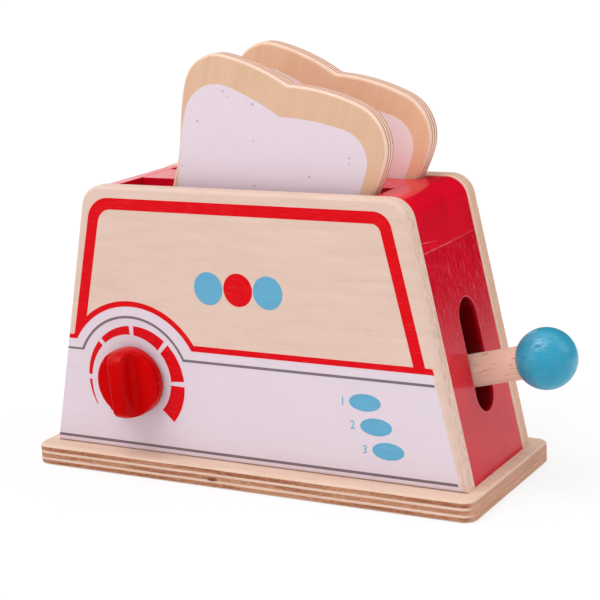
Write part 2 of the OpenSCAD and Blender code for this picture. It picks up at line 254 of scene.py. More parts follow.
def prism(outline: Sequence[Point], near: float, far: float) -> Mesh:
    """Solid that an outline in x and z sweeps along y.

    Args:
        outline: Points as x and z.
        near: Depth of its first end.
        far: Depth of its other end.

    Returns:
        The solid's mesh.
    """
    bm = bmesh.new()
    first = bm.faces.new([bm.verts.new((x, near, z)) for x, z in outline])
    swept = bmesh.ops.extrude_face_region(bm, geom=[first])
    moved = [g for g in swept["geom"] if isinstance(g, bmesh.types.BMVert)]
    bmesh.ops.translate(bm, vec=(0, far - near, 0), verts=moved)
    bmesh.ops.recalc_face_normals(bm, faces=bm.faces)
    return bm


def turned(profile: Sequence[Point], steps: int) -> Mesh:
    """Solid turned about z from a profile.

    Args:
        profile: Points as radius and height, from one pole or wall to the other.
        steps: Steps of the full turn.

    Returns:
        The solid's mesh.
    """
    bm = bmesh.new()
    verts = [bm.verts.new((r, 0, h)) for r, h in profile]
    edges = [bm.edges.new(pair) for pair in zip(verts, verts[1:])]
    bmesh.ops.spin(
        bm, geom=verts + edges, cent=(0, 0, 0), axis=(0, 0, 1), angle=math.tau,
        steps=steps, use_merge=True,
    )
    bmesh.ops.remove_doubles(bm, verts=bm.verts, dist=TINY)
    bmesh.ops.recalc_face_normals(bm, faces=bm.faces)
    return bm


def cylinder(radius: float, low: float, high: float, steps: int = 32) -> Mesh:
    """Cylinder about z between two heights."""
    return turned([(0, low), (radius, low), (radius, high), (0, high)], steps)


def ease(bm: Mesh, width: float, segments: int, chosen: Callable[[Edge], bool]) -> None:
    """Rounds chosen edges.

    Args:
        bm: The mesh.
        width: Radius of the rounding.
        segments: Steps of the rounding.
        chosen: Says whether an edge is rounded.
    """
    edges = [e for e in bm.edges if chosen(e)]
    bmesh.ops.bevel(
        bm, geom=edges, offset=width, offset_type="OFFSET", affect="EDGES",
        segments=segments, profile=0.5, material=-1, clamp_overlap=True,
    )


def at_y(y: float) -> Callable[[Edge], bool]:
    """Test for edges that lie in the plane at a depth."""
    return lambda e: all(abs(v.co.y - y) < TINY for v in e.verts)


def bisected(bm: Mesh, point: Place, normal: Place, drop: bool = False) -> list:
    """Cuts a mesh along a plane.

    Args:
        bm: The mesh.
        point: A point of the plane.
        normal: Its normal.
        drop: Whether what lies on the normal's side goes.

    Returns:
        What lies in the plane afterwards.
    """
    whole = [*bm.verts, *bm.edges, *bm.faces]
    cut = bmesh.ops.bisect_plane(bm, geom=whole, plane_co=point, plane_no=normal, clear_outer=drop)
    return cut["geom_cut"]


def place(bm: Mesh, matrix: Matrix) -> Mesh:
    """Moves a mesh, in millimetres, and hands it back."""
    bmesh.ops.transform(bm, matrix=matrix, verts=bm.verts)
    return bm


def joined(parts: Iterable[Mesh]) -> Mesh:
    """One mesh of several.

    Args:
        parts: Meshes, which are freed.

    Returns:
        The joint mesh.
    """
    whole = bmesh.new()
    for part in parts:
        mesh = bpy.data.meshes.new("part")
        part.to_mesh(mesh)
        part.free()
        whole.from_mesh(mesh)
        bpy.data.meshes.remove(mesh)
    return whole


def in_scene(name: str, data: bpy.types.ID) -> Piece:
    """Object in the scene.

    Args:
        name: Name of the object.
        data: Its mesh, text, lamp or camera.

    Returns:
        The object.
    """
    made = bpy.data.objects.new(name, data)
    bpy.context.scene.collection.objects.link(made)
    return made


def as_object(bm: Mesh, name: str) -> Piece:
    """Object of a mesh, which is freed.

    Args:
        bm: The mesh in millimetres.
        name: Name of the object.

    Returns:
        The object in metres, at the origin.
    """
    bmesh.ops.scale(bm, vec=(MM, MM, MM), verts=bm.verts)
    mesh = bpy.data.meshes.new(name)
    bm.to_mesh(mesh)
    bm.free()
    return in_scene(name, mesh)


def evaluated(made: Piece) -> bpy.types.Mesh:
    """Mesh of an object with its text or its modifiers worked out."""
    bpy.context.view_layer.update()
    return bpy.data.meshes.new_from_object(made.evaluated_get(bpy.context.evaluated_depsgraph_get()))


def settle(piece: Piece) -> None:
    """Applies the modifiers of a piece.

    Args:
        piece: The piece, whose mesh is replaced by the evaluated one.
    """
    mesh = evaluated(piece)
    piece.modifiers.clear()
    old, piece.data = piece.data, mesh
    mesh.name = piece.name
    bpy.data.meshes.remove(old)


def carve(piece: Piece, cutters: Iterable[Mesh], how: str = "DIFFERENCE") -> None:
    """Cuts a piece with other solids.

    Args:
        piece: The piece.
        cutters: Meshes in millimetres, which are freed.
        how: Operation of the Boolean modifier.
    """
    for bm in cutters:
        tool = as_object(bm, "cutter")
        cut = piece.modifiers.new("cut", "BOOLEAN")
        cut.operation, cut.solver, cut.object = how, "EXACT", tool
        settle(piece)
        bpy.data.objects.remove(tool)


def smooth(piece: Piece, degrees: float = 40.0, weighted: bool = True) -> None:
    """Shades a piece smooth, apart from its sharp edges.

    Args:
        piece: The piece.
        degrees: Angle from which an edge stays sharp.
        weighted: Whether large faces keep their own normal.
    """
    piece.data.shade_smooth()
    piece.data.set_sharp_from_angle(angle=math.radians(degrees))
    if weighted:
        normals = piece.modifiers.new("normals", "WEIGHTED_NORMAL")
        normals.keep_sharp = True
        normals.weight = 100


def coat(piece: Piece, material: Material) -> None:
    """Gives a piece a finish in place of those that it had."""
    piece.data.materials.clear()
    piece.data.materials.append(material)


def dress(piece: Piece, body: Body, material: Material, nodes: Sequence[str] = ()) -> None:
    """Gives a piece its finish and its body.

    Args:
        piece: The piece.
        body: The body that it rides on.
        material: Its finish.
        nodes: CAD nodes that it stands for.
    """
    coat(piece, material)
    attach(piece, body.value)
    if nodes:
        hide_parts(*nodes)
    LOG.info("%s: %d faces on %s", piece.name, len(piece.data.polygons), body.value)


def repaint(node: str, material: Material) -> None:
    """Gives a CAD node a finish."""
    coat(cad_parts[node], material)
    LOG.info("%s: dressed in %s", node, material.name)


# --------------------------------------------------------------------------------------
# Finishes
# --------------------------------------------------------------------------------------


class NodeSheet:
    """Short hand for building node trees."""

    def __init__(self, tree: Tree) -> None:
        """Keeps the tree."""
        self.tree = tree

    def fill(self, node: Node, values: dict) -> None:
        """Links or sets inputs of a node.

        Args:
            node: The node.
            values: Its inputs by name or number, as sockets or plain values.
        """
        for key, value in values.items():
            if isinstance(value, Socket):
                self.tree.links.new(value, node.inputs[key])
            else:
                node.inputs[key].default_value = value

    def add(self, kind: str, values: dict | None = None, pick: int | str = 0, **settings: object) -> Socket:
        """Adds a node.

        Args:
            kind: Type name of the node, without its prefix.
            values: Inputs by name or number, as sockets or plain values.
            pick: Output to return.
            **settings: Properties of the node.

        Returns:
            The picked output.
        """
        made = self.tree.nodes.new("ShaderNode" + kind)
        for key, value in settings.items():
            setattr(made, key, value)
        self.fill(made, values or {})
        return made.outputs[pick]

    def maths(self, operation: str, *values: object) -> Socket:
        """Result of a Math node."""
        return self.add("Math", dict(enumerate(values)), operation=operation)

    def plus(self, first: object, second: object) -> Socket:
        """Sum of two values."""
        return self.maths("ADD", first, second)

    def minus(self, first: object, second: object) -> Socket:
        """First value less the second."""
        return self.maths("SUBTRACT", first, second)

    def times(self, first: object, second: object) -> Socket:
        """Product of two values."""
        return self.maths("MULTIPLY", first, second)

    def times_plus(self, first: object, factor: object, more: object) -> Socket:
        """Product of two values, plus a third."""
        return self.maths("MULTIPLY_ADD", first, factor, more)

    def larger(self, first: object, second: object) -> Socket:
        """Larger of two values."""
        return self.maths("MAXIMUM", first, second)

    def smaller(self, first: object, second: object) -> Socket:
        """Smaller of two values."""
        return self.maths("MINIMUM", first, second)

    def size(self, value: object) -> Socket:
        """Value without its sign."""
        return self.maths("ABSOLUTE", value)

    def gap(self, first: object, second: object) -> Socket:
        """Distance between two values."""
        return self.size(self.minus(first, second))

    def span(
        self, value: object, low: float, high: float, to_low: object = 0.0, to_high: object = 1.0
    ) -> Socket:
        """Value mapped from low and high to to_low and to_high, and held at the ends."""
        return self.add("MapRange", {0: value, 1: low, 2: high, 3: to_low, 4: to_high})

    def mix(self, share: object, first: object, second: object) -> Socket:
        """Mix of two colours by the share of the second."""
        return self.add("Mix", {0: share, 6: first, 7: second}, pick=2, data_type="RGBA")

    def stretched(self, vector: object, scale: Place) -> Socket:
        """Vector scaled on each axis."""
        return self.add("VectorMath", {0: vector, 1: scale}, operation="MULTIPLY")

    def noise(
        self, vector: object, scale: Place, detail: float, roughness: float = 0.55, distortion: float = 0.0
    ) -> Socket:
        """Noise about 0.5, with its own scale on each axis and a number of octaves as its detail."""
        values = {"Scale": 1.0, "Detail": detail, "Roughness": roughness, "Distortion": distortion}
        return self.add("TexNoise", {"Vector": self.stretched(vector, scale), **values})

    def parts(self, vector: object) -> Sequence[Socket]:
        """The three parts of a vector."""
        return list(self.add("SeparateXYZ", {0: vector}).node.outputs)

    def away(self, across: object, up: object, centre: Point) -> Socket:
        """Distance from a point in a plane."""
        squares = [self.maths("POWER", self.minus(c, o), 2.0) for c, o in zip((across, up), centre)]
        return self.maths("SQRT", self.plus(*squares))


class GroupSheet(NodeSheet):
    """Sheet of a new shader group that reads a vector and plain values."""

    def __init__(self, name: str, inputs: Sequence[str], outputs: Sequence[str]) -> None:
        """Makes the empty group.

        Args:
            name: Its name.
            inputs: Names of its inputs beside the vector.
            outputs: Names of its outputs.
        """
        super().__init__(bpy.data.node_groups.new(name, "ShaderNodeTree"))
        sockets = self.tree.interface
        sockets.new_socket("Vector", in_out="INPUT", socket_type="NodeSocketVector")
        for socket in inputs:
            sockets.new_socket(socket, in_out="INPUT", socket_type="NodeSocketFloat")
        for socket in outputs:
            sockets.new_socket(socket, in_out="OUTPUT", socket_type="NodeSocketFloat")
        self.entry = self.tree.nodes.new("NodeGroupInput")
        self.leave = self.tree.nodes.new("NodeGroupOutput")

    def put_out(self, **values: Socket) -> Tree:
        """Links the group's outputs, by name, and hands the group back."""
        self.fill(self.leave, values)
        return self.tree


@dataclass(frozen=True)
class Grain:
    """Wood grain along x: fine streaks, broad blotches and short dark flecks.

    In this and the next finishes a scale is that of a noise, per millimetre along each axis, and
    a span holds the value at which its mask starts and the one at which it is full.
    """

    streak_scale: Place = (0.035, 1.3, 1.3)
    streak_span: Point = (0.3, 0.7)
    figure_scale: Place = (0.02, 0.14, 0.14)
    figure_span: Point = (0.32, 0.68)
    figure_swirl: float = 1.2
    fleck_scale: Place = (0.2, 2.3, 2.3)
    fleck_span: Point = (0.82, 0.94)
    fleck_figure: float = 0.35

    def build(self) -> Tree:
        """Builds the shader group.

        Returns:
            Group with a mask of each.
        """
        sheet = GroupSheet("wood_grain", (), ("Streak", "Figure", "Flecks"))
        vector = sheet.entry.outputs[0]
        streak = sheet.noise(vector, self.streak_scale, detail=4.0, roughness=0.6)
        figure = sheet.noise(vector, self.figure_scale, 4.0, 0.6, self.figure_swirl)
        flecks = sheet.noise(vector, self.fleck_scale, detail=1.0)
        flecks = sheet.times_plus(figure, self.fleck_figure, flecks)
        return sheet.put_out(
            Streak=sheet.span(streak, *self.streak_span),
            Figure=sheet.span(figure, *self.figure_span),
            Flecks=sheet.span(flecks, *self.fleck_span),
        )


@dataclass(frozen=True)
class Plies:
    """Layers of plywood by depth: the cross-grained ones and the glue lines beside them."""

    wander_scale: Place = (0.03, 0.03, 0.03)
    wander_span: Point = (0.25, 0.75)
    wander: float = 0.12
    edge_half: float = 0.09
    glue_half: float = 0.16

    def build(self) -> Tree:
        """Builds the shader group.

        Returns:
            Group with a mask of each.
        """
        sheet = GroupSheet("ply_layers", ("Depth", "First", "Pitch", "Dark"), ("Cross", "Glue"))
        along, depth, first, pitch, dark = sheet.entry.outputs[:5]
        wander = sheet.noise(along, self.wander_scale, detail=3.0)
        depth = sheet.plus(depth, sheet.span(wander, *self.wander_span, -self.wander, self.wander))
        half = sheet.times(dark, 0.5)
        turn = sheet.maths("DIVIDE", sheet.minus(sheet.minus(depth, first), half), pitch)
        turn = sheet.maths("FRACT", sheet.plus(turn, 0.5))
        away = sheet.minus(sheet.times(sheet.gap(turn, 0.5), pitch), half)
        return sheet.put_out(
            Cross=sheet.span(away, self.edge_half, -self.edge_half),
            Glue=sheet.span(sheet.size(away), self.glue_half, 0.0),
        )


@dataclass(frozen=True)
class Paint:
    """Paint over wood: short strokes along x where the grain shows through."""

    stroke_scale: Place = (0.28, 1.6, 1.6)
    stroke_span: Point = (0.57, 0.70)
    stroke_swirl: float = 0.8
    wave_scale: Place = (0.07, 0.12, 0.12)
    wave_height: float = 1.6

    def build(self) -> Tree:
        """Builds the shader group.

        Returns:
            Group with a height and a mask of the strokes.
        """
        sheet = GroupSheet("paint_over_wood", (), ("Height", "Strokes"))
        vector = sheet.entry.outputs[0]
        strokes = sheet.noise(vector, self.stroke_scale, 2.0, 0.5, self.stroke_swirl)
        strokes = sheet.span(strokes, *self.stroke_span)
        wavy = sheet.noise(vector, self.wave_scale, detail=2.0)
        return sheet.put_out(Height=sheet.times_plus(wavy, self.wave_height, strokes), Strokes=strokes)


@dataclass(frozen=True)
class Lie:
    """How a finish lies on its piece: its x runs with the grain, its y through the thickness."""

    origin: Place = (0.0, 0.0, 0.0)
    turn: Place = (0.0, 0.0, 0.0)
    across_span: Point = (0.5, 0.85)

    def vector(self, sheet: NodeSheet) -> Socket:
        """Coordinates of the finish.

        Args:
            sheet: The material's tree.

        Returns:
            Coordinates in millimetres.
        """
        return sheet.add(
            "Mapping",
            {
                "Vector": sheet.add("TexCoord", pick="Object"),
                "Location": [c * MM for c in self.origin],
                "Rotation": [math.radians(a) for a in self.turn],
                "Scale": (MM, MM, MM),
            },
            vector_type="TEXTURE",
        )

    def across(self, sheet: NodeSheet) -> Socket:
        """Mask of the surfaces that cut across the grain.

        Args:
            sheet: The material's tree.

        Returns:
            1 where the surface is square to the grain.
        """
        grain = Euler([math.radians(a) for a in self.turn]).to_matrix() @ Vector((1, 0, 0))
        normal = sheet.add("TexCoord", pick="Normal")
        facing = sheet.add("VectorMath", {0: normal, 1: grain}, "Value", operation="DOT_PRODUCT")
        return sheet.span(sheet.size(facing), *self.across_span)


class Finish:
    """Start of a material: its tree, its shader and its coordinates."""

    def __init__(self, name: str, lie: Lie) -> None:
        """Makes an empty material.

        Args:
            name: Name of the material.
            lie: How it lies on its piece.
        """
        self.material = bpy.data.materials.new(name)
        self.material.use_nodes = True
        self.sheet = NodeSheet(self.material.node_tree)
        self.shader = self.material.node_tree.nodes["Principled BSDF"]
        self.vector = lie.vector(self.sheet)

    def group(self, tree: Tree, vector: Socket, **values: object) -> Node:
        """Places a shared group.

        Args:
            tree: The group.
            vector: Where it is read.
            **values: Its other inputs, as sockets or plain values.

        Returns:
            The group's node.
        """
        node = self.sheet.add("Group", node_tree=tree).node
        self.sheet.fill(node, {"Vector": vector, **values})
        return node

    def feed(self, **values: object) -> None:
        """Links or sets inputs of the shader, with _ for a space in a name."""
        self.sheet.fill(self.shader, {key.replace("_", " "): value for key, value in values.items()})

    def bump(self, height: Socket, strength: float, distance: float) -> None:
        """Feeds a bump, with its depth in millimetres, to the shader."""
        bump = {"Height": height, "Strength": strength, "Distance": distance * MM}
        self.feed(Normal=self.sheet.add("Bump", bump))


@dataclass(frozen=True)
class PlyWood:
    """Plywood whose layers show where the surface leaves the outer face.

    The cross colours are those of the cross-grained layers along the grain, and the end
    colours those of every layer where the edge cuts across the grain. The layers start at
    the depth first and follow one another at the pitch, each as thick as dark.
    """

    name: str
    thickness: float
    light: Colour = rgb(237, 209, 193)
    deep: Colour = rgb(229, 196, 174)
    fleck: Colour = rgb(206, 166, 142)
    streak_share: float = 0.16
    fleck_share: float = 0.4
    cross: Colour = rgb(214, 168, 142)
    cross_deep: Colour = rgb(186, 136, 110)
    end_light: Colour = rgb(232, 196, 176)
    end_deep: Colour = rgb(206, 164, 142)
    end_layers: float = 0.3
    glue: Colour = rgb(176, 122, 96)
    glue_share: float = 0.3
    first: float = 0.8
    pitch: float = 2.6
    dark: float = 1.3
    skin: float = 1.4
    knot: Point | None = None
    knot_colour: Colour = rgb(118, 66, 42)
    knot_share: float = 0.95
    knot_squash: float = 0.35
    knot_r: Point = (1.0, 0.6)
    knot_span: Point = (0.3, 0.7)
    knot_ragged: float = 0.25
    stain: Colour | None = None
    stain_deep: Colour | None = None
    stain_stroke: float = 0.86
    stain_share: float = 0.5
    stain_scale: Place = (0.16, 1.4, 1.4)
    stain_span: Point = (0.68, 0.8)
    mottle_scale: Place = (0.35, 1.4, 0.35)
    mottle_span: Point = (0.36, 0.64)
    broad_scale: Place = (0.03, 0.3, 0.03)
    broad_span: Point = (0.3, 0.7)
    broad: float = 0.12
    roughness: float = 0.5
    gloss: float = 0.2
    bump: float = 0.12
    bump_depth: float = 0.05


@dataclass(frozen=True)
class PrintField:
    """Pale printed field on the front panel, under its line and inside its arch."""

    ink: Colour = rgb(227, 212, 223)
    cloud: float = 0.97
    cloud_scale: Point = (0.05, 0.4)
    cloud_span: Point = (0.3, 0.7)
    cover: float = 0.97
    line_z: float = 57.0
    arch_centre: Point = (-54.7, 38.95)
    arch_radius: float = 35.0
    right_x: float = 84.9
    right_z: float = 56.0
    right_lean: float = 0.2341
    soft: float = 0.1
    reach: float = 1.7
    reach_soft: float = 0.15


@dataclass(frozen=True)
class Ink:
    """Printing ink, through which the grain shows as fine pale scratches."""

    name: str
    colour: Colour
    scratched: float = 0.3
    pale: float = 0.8
    pale_share: float = 0.45
    scratch_scale: Place = (0.12, 3.6, 3.6)
    scratch_span: Point = (0.6, 0.74)
    dull: float = 0.93
    dull_share: float = 3.0
    cloud_scale: Place = (0.06, 0.3, 0.3)
    cloud_span: Point = (0.35, 0.65)
    roughness: float = 0.5
    gloss: float = 0.06
    bump: float = 0.1
    bump_depth: float = 0.02

    def scratch(self) -> Colour:
        """Colour of the scratches."""
        return tuple(c + (self.pale - c) * self.pale_share for c in self.colour[:3]) + (1.0,)


@dataclass(frozen=True)
class Lacquer:
    """Coloured lacquer over wood, with paler strokes along the grain."""

    name: str
    colour: Colour
    stroke: Colour
    stroke_share: float = 0.0
    roughness: float = 0.14
    gloss: float = 0.26
    grain_depth: float = 0.03
    grain_bump: float = 0.5
    cloud: float = 0.86
    cloud_scale: Place = (0.03, 0.06, 0.06)
    cloud_span: Point = (0.35, 0.65)
    stroke_roughness: float = 0.1


@dataclass(frozen=True)
class LeverEndPaintedLight:
    """Painted light on the right end panel: highlights on its filled seam, a scratch and the slot's rim, and
    shade in the slot.

    Each pair with fade, half, from or inside_r in its name holds where a mark is gone and where it
    is full. The patches are read in metres, and all else in millimetres.
    """

    foot: Point
    slope: float
    middle_y: float
    slot_r: float
    slot: Point
    seam_z: float
    # The seam and scratch lines are painted highlights: the light that a paint ridge along them would catch.
    seam_fade: Point = (16.0, 4.0)
    seam_half: Point = (0.36, 0.14)
    scratch_y: Point = (-25.5, 14.0)
    scratch_rise: Point = (4.2, 0.0)
    scratch_fade: Point = (-8.0, -20.0)
    scratch_half: Point = (0.3, 0.1)
    line_share: float = 0.6
    line_from: Point = (-0.4, -0.1)
    patch_scale: Place = (1 / MM, 0.35 / MM, 1 / MM)
    patch_span: Point = (0.36, 0.52)
    strokes_z: Point = (30.0, 66.0)
    strokes_share: Point = (0.25, 1.0)
    # The pale ring round the slot is a painted highlight of its rounded rim.
    rim: float = 0.5
    rim_share: float = 0.45
    rim_from: Point = (-0.5, -0.2)
    # Colour of the painted highlights on the seam, the scratch and the rim.
    colour: Colour = rgb(240, 112, 132)
    # Colour of the painted shade inside the slot.
    inside: Colour = rgb(128, 0, 6)
    inside_r: Point = (0.3, 0.2)
    inside_from: Point = (-0.4, -2.5)


@dataclass(frozen=True)
class Hardwood:
    """Plain sanded hardwood, beech unless it says otherwise."""

    name: str
    light: Colour = rgb(226, 182, 150)
    deep: Colour = rgb(206, 156, 122)
    fleck: Colour = rgb(160, 106, 76)
    streak_share: float = 0.4
    fleck_share: float = 0.8
    fleck_scale: Place = (0.2, 1.7, 1.7)
    fleck_span: Point = (0.64, 0.74)
    roughness: float = 0.55
    gloss: float = 0.3
    bump: float = 0.2
    bump_depth: float = 0.06


@dataclass(frozen=True)
class Zinc:
    """Bright zinc on steel."""

    name: str = "zinc_plate"
    light: Colour = rgb(200, 202, 206)
    dull: Colour = rgb(176, 178, 182)
    roughness: Point = (0.24, 0.38)
    cloud_scale: Place = (0.8, 0.8, 0.8)
    cloud_span: Point = (0.3, 0.7)


class Finishes:
    """Makes every finish of the toaster."""

    def __init__(self) -> None:
        """Builds the shader groups that several finishes share."""
        self.grain = Grain().build()
        self.plies = Plies().build()
        self.paint = Paint().build()

    def ply(self, kind: PlyWood, lie: Lie, field_of: PrintField | None = None) -> Material:
        """Plywood.

        Args:
            kind: Its kind.
            lie: How it lies: y is the depth from the outer face.
            field_of: Printed field, where it has one.

        Returns:
            The material.
        """
        made = Finish(kind.name, lie)
        sheet = made.sheet
        where = sheet.parts(made.vector)
        grain = made.group(self.grain, made.vector)
        face = sheet.mix(grain.outputs["Figure"], kind.light, kind.deep)
        face = sheet.mix(sheet.times(grain.outputs["Streak"], kind.streak_share), face, kind.fleck)
        face = sheet.mix(sheet.times(grain.outputs["Flecks"], kind.fleck_share), face, kind.fleck)
        edge = self._layers(made, kind, lie, face, where)
        if kind.stain:
            face = self._stained(made, kind, grain.outputs["Figure"])
        shallow = sheet.smaller(where[1], sheet.minus(kind.thickness, where[1]))
        colour = sheet.mix(sheet.span(shallow, kind.skin, kind.skin / 2), edge, face)
        if field_of:
            colour = self._field(sheet, field_of, colour, where)
        made.feed(Base_Color=colour, Roughness=kind.roughness, Specular_IOR_Level=kind.gloss)
        made.bump(grain.outputs["Streak"], kind.bump, kind.bump_depth)
        return made.material

    def _layers(
        self, made: Finish, kind: PlyWood, lie: Lie, face: Socket, where: Sequence[Socket]
    ) -> Socket:
        """Layers of the plywood, with their glue lines and a knot.

        Args:
            made: The material.
            kind: Its kind.
            lie: How it lies.
            face: Colour of the layers that run with the outer one.
            where: Place along the grain, depth and place across the grain.

        Returns:
            The colour of the edges.
        """
        sheet = made.sheet
        x, depth, z = where
        first = kind.first - (kind.pitch - kind.dark) / 2
        inside = sheet.smaller(sheet.larger(depth, first), kind.thickness - first)
        pattern = {"Depth": inside, "First": kind.first, "Pitch": kind.pitch, "Dark": kind.dark}
        layers = made.group(self.plies, made.vector, **pattern)
        mottle = sheet.noise(made.vector, kind.mottle_scale, detail=5.0, roughness=0.8)
        broad = sheet.noise(made.vector, kind.broad_scale, detail=2.0)
        mottle = sheet.plus(mottle, sheet.span(broad, *kind.broad_span, -kind.broad, kind.broad))
        cross = sheet.mix(sheet.span(mottle, *kind.mottle_span), kind.cross, kind.cross_deep)
        along = sheet.mix(layers.outputs["Cross"], face, cross)
        crossing = sheet.add("CombineXYZ", {0: z, 1: depth, 2: x})
        end_grain = made.group(self.grain, crossing)
        end = sheet.mix(end_grain.outputs["Streak"], kind.end_light, kind.end_deep)
        end = sheet.mix(sheet.times(layers.outputs["Cross"], kind.end_layers), end, kind.cross)
        colour = sheet.mix(lie.across(sheet), along, end)
        colour = sheet.mix(sheet.times(layers.outputs["Glue"], kind.glue_share), colour, kind.glue)
        if kind.knot:
            centre = (kind.knot[0] * kind.knot_squash, kind.knot[1])
            away = sheet.away(sheet.times(x, kind.knot_squash), depth, centre)
            ragged = sheet.span(mottle, *kind.knot_span, -kind.knot_ragged, kind.knot_ragged)
            share = sheet.span(sheet.plus(away, ragged), *kind.knot_r, 0.0, kind.knot_share)
            colour = sheet.mix(share, colour, kind.knot_colour)
        return colour

    @staticmethod
    def _stained(made: Finish, kind: PlyWood, figure: Socket) -> Socket:
        """Stain on the faces, with darker strokes along the grain.

        Args:
            made: The material.
            kind: Its kind.
            figure: Mask of the broad blotches.

        Returns:
            The colour of the faces.
        """
        sheet = made.sheet
        face = sheet.mix(figure, kind.stain, kind.stain_deep)
        strokes = sheet.noise(made.vector, kind.stain_scale, detail=1.0)
        strokes = sheet.span(strokes, *kind.stain_span, 0.0, kind.stain_share)
        return sheet.mix(strokes, face, dimmed(kind.stain_deep, kind.stain_stroke))

    @staticmethod
    def _field(sheet: NodeSheet, kind: PrintField, under: Socket, where: Sequence[Socket]) -> Socket:
        """Prints the field.

        Args:
            sheet: The material's tree.
            kind: The field.
            under: Colour that it is printed on.
            where: Place to the right, depth from the face, and height.

        Returns:
            The colour with the field.
        """
        x, depth, z = where
        soft = kind.soft
        below = sheet.span(z, kind.line_z + soft, kind.line_z - soft)
        away = sheet.away(x, z, kind.arch_centre)
        inside = sheet.span(away, kind.arch_radius + soft, kind.arch_radius - soft)
        edge = sheet.times_plus(z, -kind.right_lean, kind.right_x + kind.right_z * kind.right_lean)
        left_of = sheet.span(sheet.minus(x, edge), soft, -soft)
        on_face = sheet.span(depth, kind.reach + kind.reach_soft, kind.reach - kind.reach_soft)
        share = sheet.times(sheet.larger(below, inside), sheet.times(left_of, on_face))
        across, up = kind.cloud_scale
        spot = sheet.add("CombineXYZ", {0: sheet.times(x, across), 1: sheet.times(z, up)})
        cloud = sheet.span(sheet.noise(spot, (1.0, 1.0, 1.0), detail=3.0), *kind.cloud_span)
        ink = sheet.mix(cloud, kind.ink, dimmed(kind.ink, kind.cloud))
        return sheet.mix(sheet.times(share, kind.cover), under, ink)

    def ink(self, kind: Ink, lie: Lie = Lie()) -> Material:
        """Printing ink.

        Args:
            kind: Its kind.
            lie: How it lies.

        Returns:
            The material.
        """
        made = Finish(kind.name, lie)
        sheet = made.sheet
        scratches = sheet.noise(made.vector, kind.scratch_scale, detail=2.0)
        cloud = sheet.noise(made.vector, kind.cloud_scale, detail=2.0)
        cloud = sheet.span(cloud, *kind.cloud_span, 0.0, kind.dull_share * kind.scratched)
        shade = sheet.mix(cloud, kind.colour, dimmed(kind.colour, kind.dull))
        share = sheet.span(scratches, *kind.scratch_span, 0.0, kind.scratched)
        shade = sheet.mix(share, shade, kind.scratch())
        made.feed(Base_Color=shade, Roughness=kind.roughness, Specular_IOR_Level=kind.gloss)
        made.bump(scratches, kind.bump, kind.bump_depth)
        return made.material

    def lacquer(self, kind: Lacquer, lie: Lie, painted_light: LeverEndPaintedLight | None = None) -> Material:
        """Coloured lacquer over wood.

        Args:
            kind: Its kind.
            lie: How it lies.
            painted_light: Painted highlights and shade on it, where it has some.

        Returns:
            The material.
        """
        made = Finish(kind.name, lie)
        sheet = made.sheet
        paint = made.group(self.paint, made.vector)
        strokes = paint.outputs["Strokes"]
        cloud = sheet.span(sheet.noise(made.vector, kind.cloud_scale, detail=2.0), *kind.cloud_span)
        shade = sheet.mix(cloud, kind.colour, dimmed(kind.colour, kind.cloud))
        share = sheet.times(strokes, kind.stroke_share)
        if painted_light:
            painted_highlights, under, strokes_by_height = self._painted_light_masks(sheet, painted_light)
            share = sheet.times(share, strokes_by_height)
        shade = sheet.mix(share, shade, kind.stroke)
        # Painted highlights on the seam, scratch and slot rim, then painted shade inside the slot.
        if painted_light:
            shade = sheet.mix(painted_highlights, shade, painted_light.colour)
            shade = sheet.mix(under, shade, painted_light.inside)
        roughness = sheet.span(strokes, 0.0, 1.0, kind.roughness, kind.roughness + kind.stroke_roughness)
        made.feed(Base_Color=shade, Roughness=roughness, Specular_IOR_Level=kind.gloss)
        made.bump(paint.outputs["Height"], kind.grain_bump, kind.grain_depth)
        return made.material

    @staticmethod
    def _painted_light_masks(sheet: NodeSheet, kind: LeverEndPaintedLight) -> Sequence[Socket]:
        """Masks of the painted light on the right end.

        Args:
            sheet: The material's tree.
            kind: The painted highlights and shade.

        Returns:
            1 on a painted highlight, 1 on the painted shade in the slot, and the share of the strokes that
            shows.
        """
        spot = sheet.add("TexCoord", pick="Object")
        x, y, z = sheet.parts(sheet.stretched(spot, (1 / MM, 1 / MM, 1 / MM)))
        right, above = sheet.minus(x, kind.foot[0]), sheet.minus(z, kind.foot[1])
        sine, cosine = math.sin(kind.slope), math.cos(kind.slope)
        up = sheet.times_plus(above, cosine, sheet.times(right, -sine))
        out = sheet.times_plus(above, sine, sheet.times(right, cosine))
        low, high = kind.slot
        past = sheet.minus(sheet.gap(up, (low + high) / 2), (high - low) / 2)
        away = sheet.away(sheet.larger(past, 0.0), y, (0.0, kind.middle_y))
        # Painted highlight round the slot's rounded rim.
        rim = sheet.span(away, kind.slot_r + kind.rim, kind.slot_r + kind.rim / 2)
        rim = sheet.times(rim, sheet.span(out, *kind.rim_from))
        # Painted highlights along the seam and along a scratch beside it.
        over_seam = sheet.minus(z, kind.seam_z)
        rise = sheet.span(y, *kind.scratch_y, *kind.scratch_rise)
        scratch = sheet.span(sheet.gap(over_seam, rise), *kind.scratch_half)
        scratch = sheet.times(scratch, sheet.span(y, *kind.scratch_fade))
        seam = sheet.span(sheet.size(over_seam), *kind.seam_half)
        seam = sheet.times(seam, sheet.span(y, *kind.seam_fade))
        patchy = sheet.span(sheet.noise(spot, kind.patch_scale, detail=2.0), *kind.patch_span)
        lines = sheet.times(sheet.larger(seam, scratch), patchy)
        lines = sheet.times(sheet.times(lines, sheet.span(out, *kind.line_from)), kind.line_share)
        # Painted shade on the walls inside the slot.
        thin, full = kind.inside_r
        hole = sheet.span(away, kind.slot_r + thin, kind.slot_r + full)
        hole = sheet.times(hole, sheet.span(out, *kind.inside_from))
        strokes_by_height = sheet.span(z, *kind.strokes_z, *kind.strokes_share)
        return sheet.larger(lines, sheet.times(rim, kind.rim_share)), hole, strokes_by_height

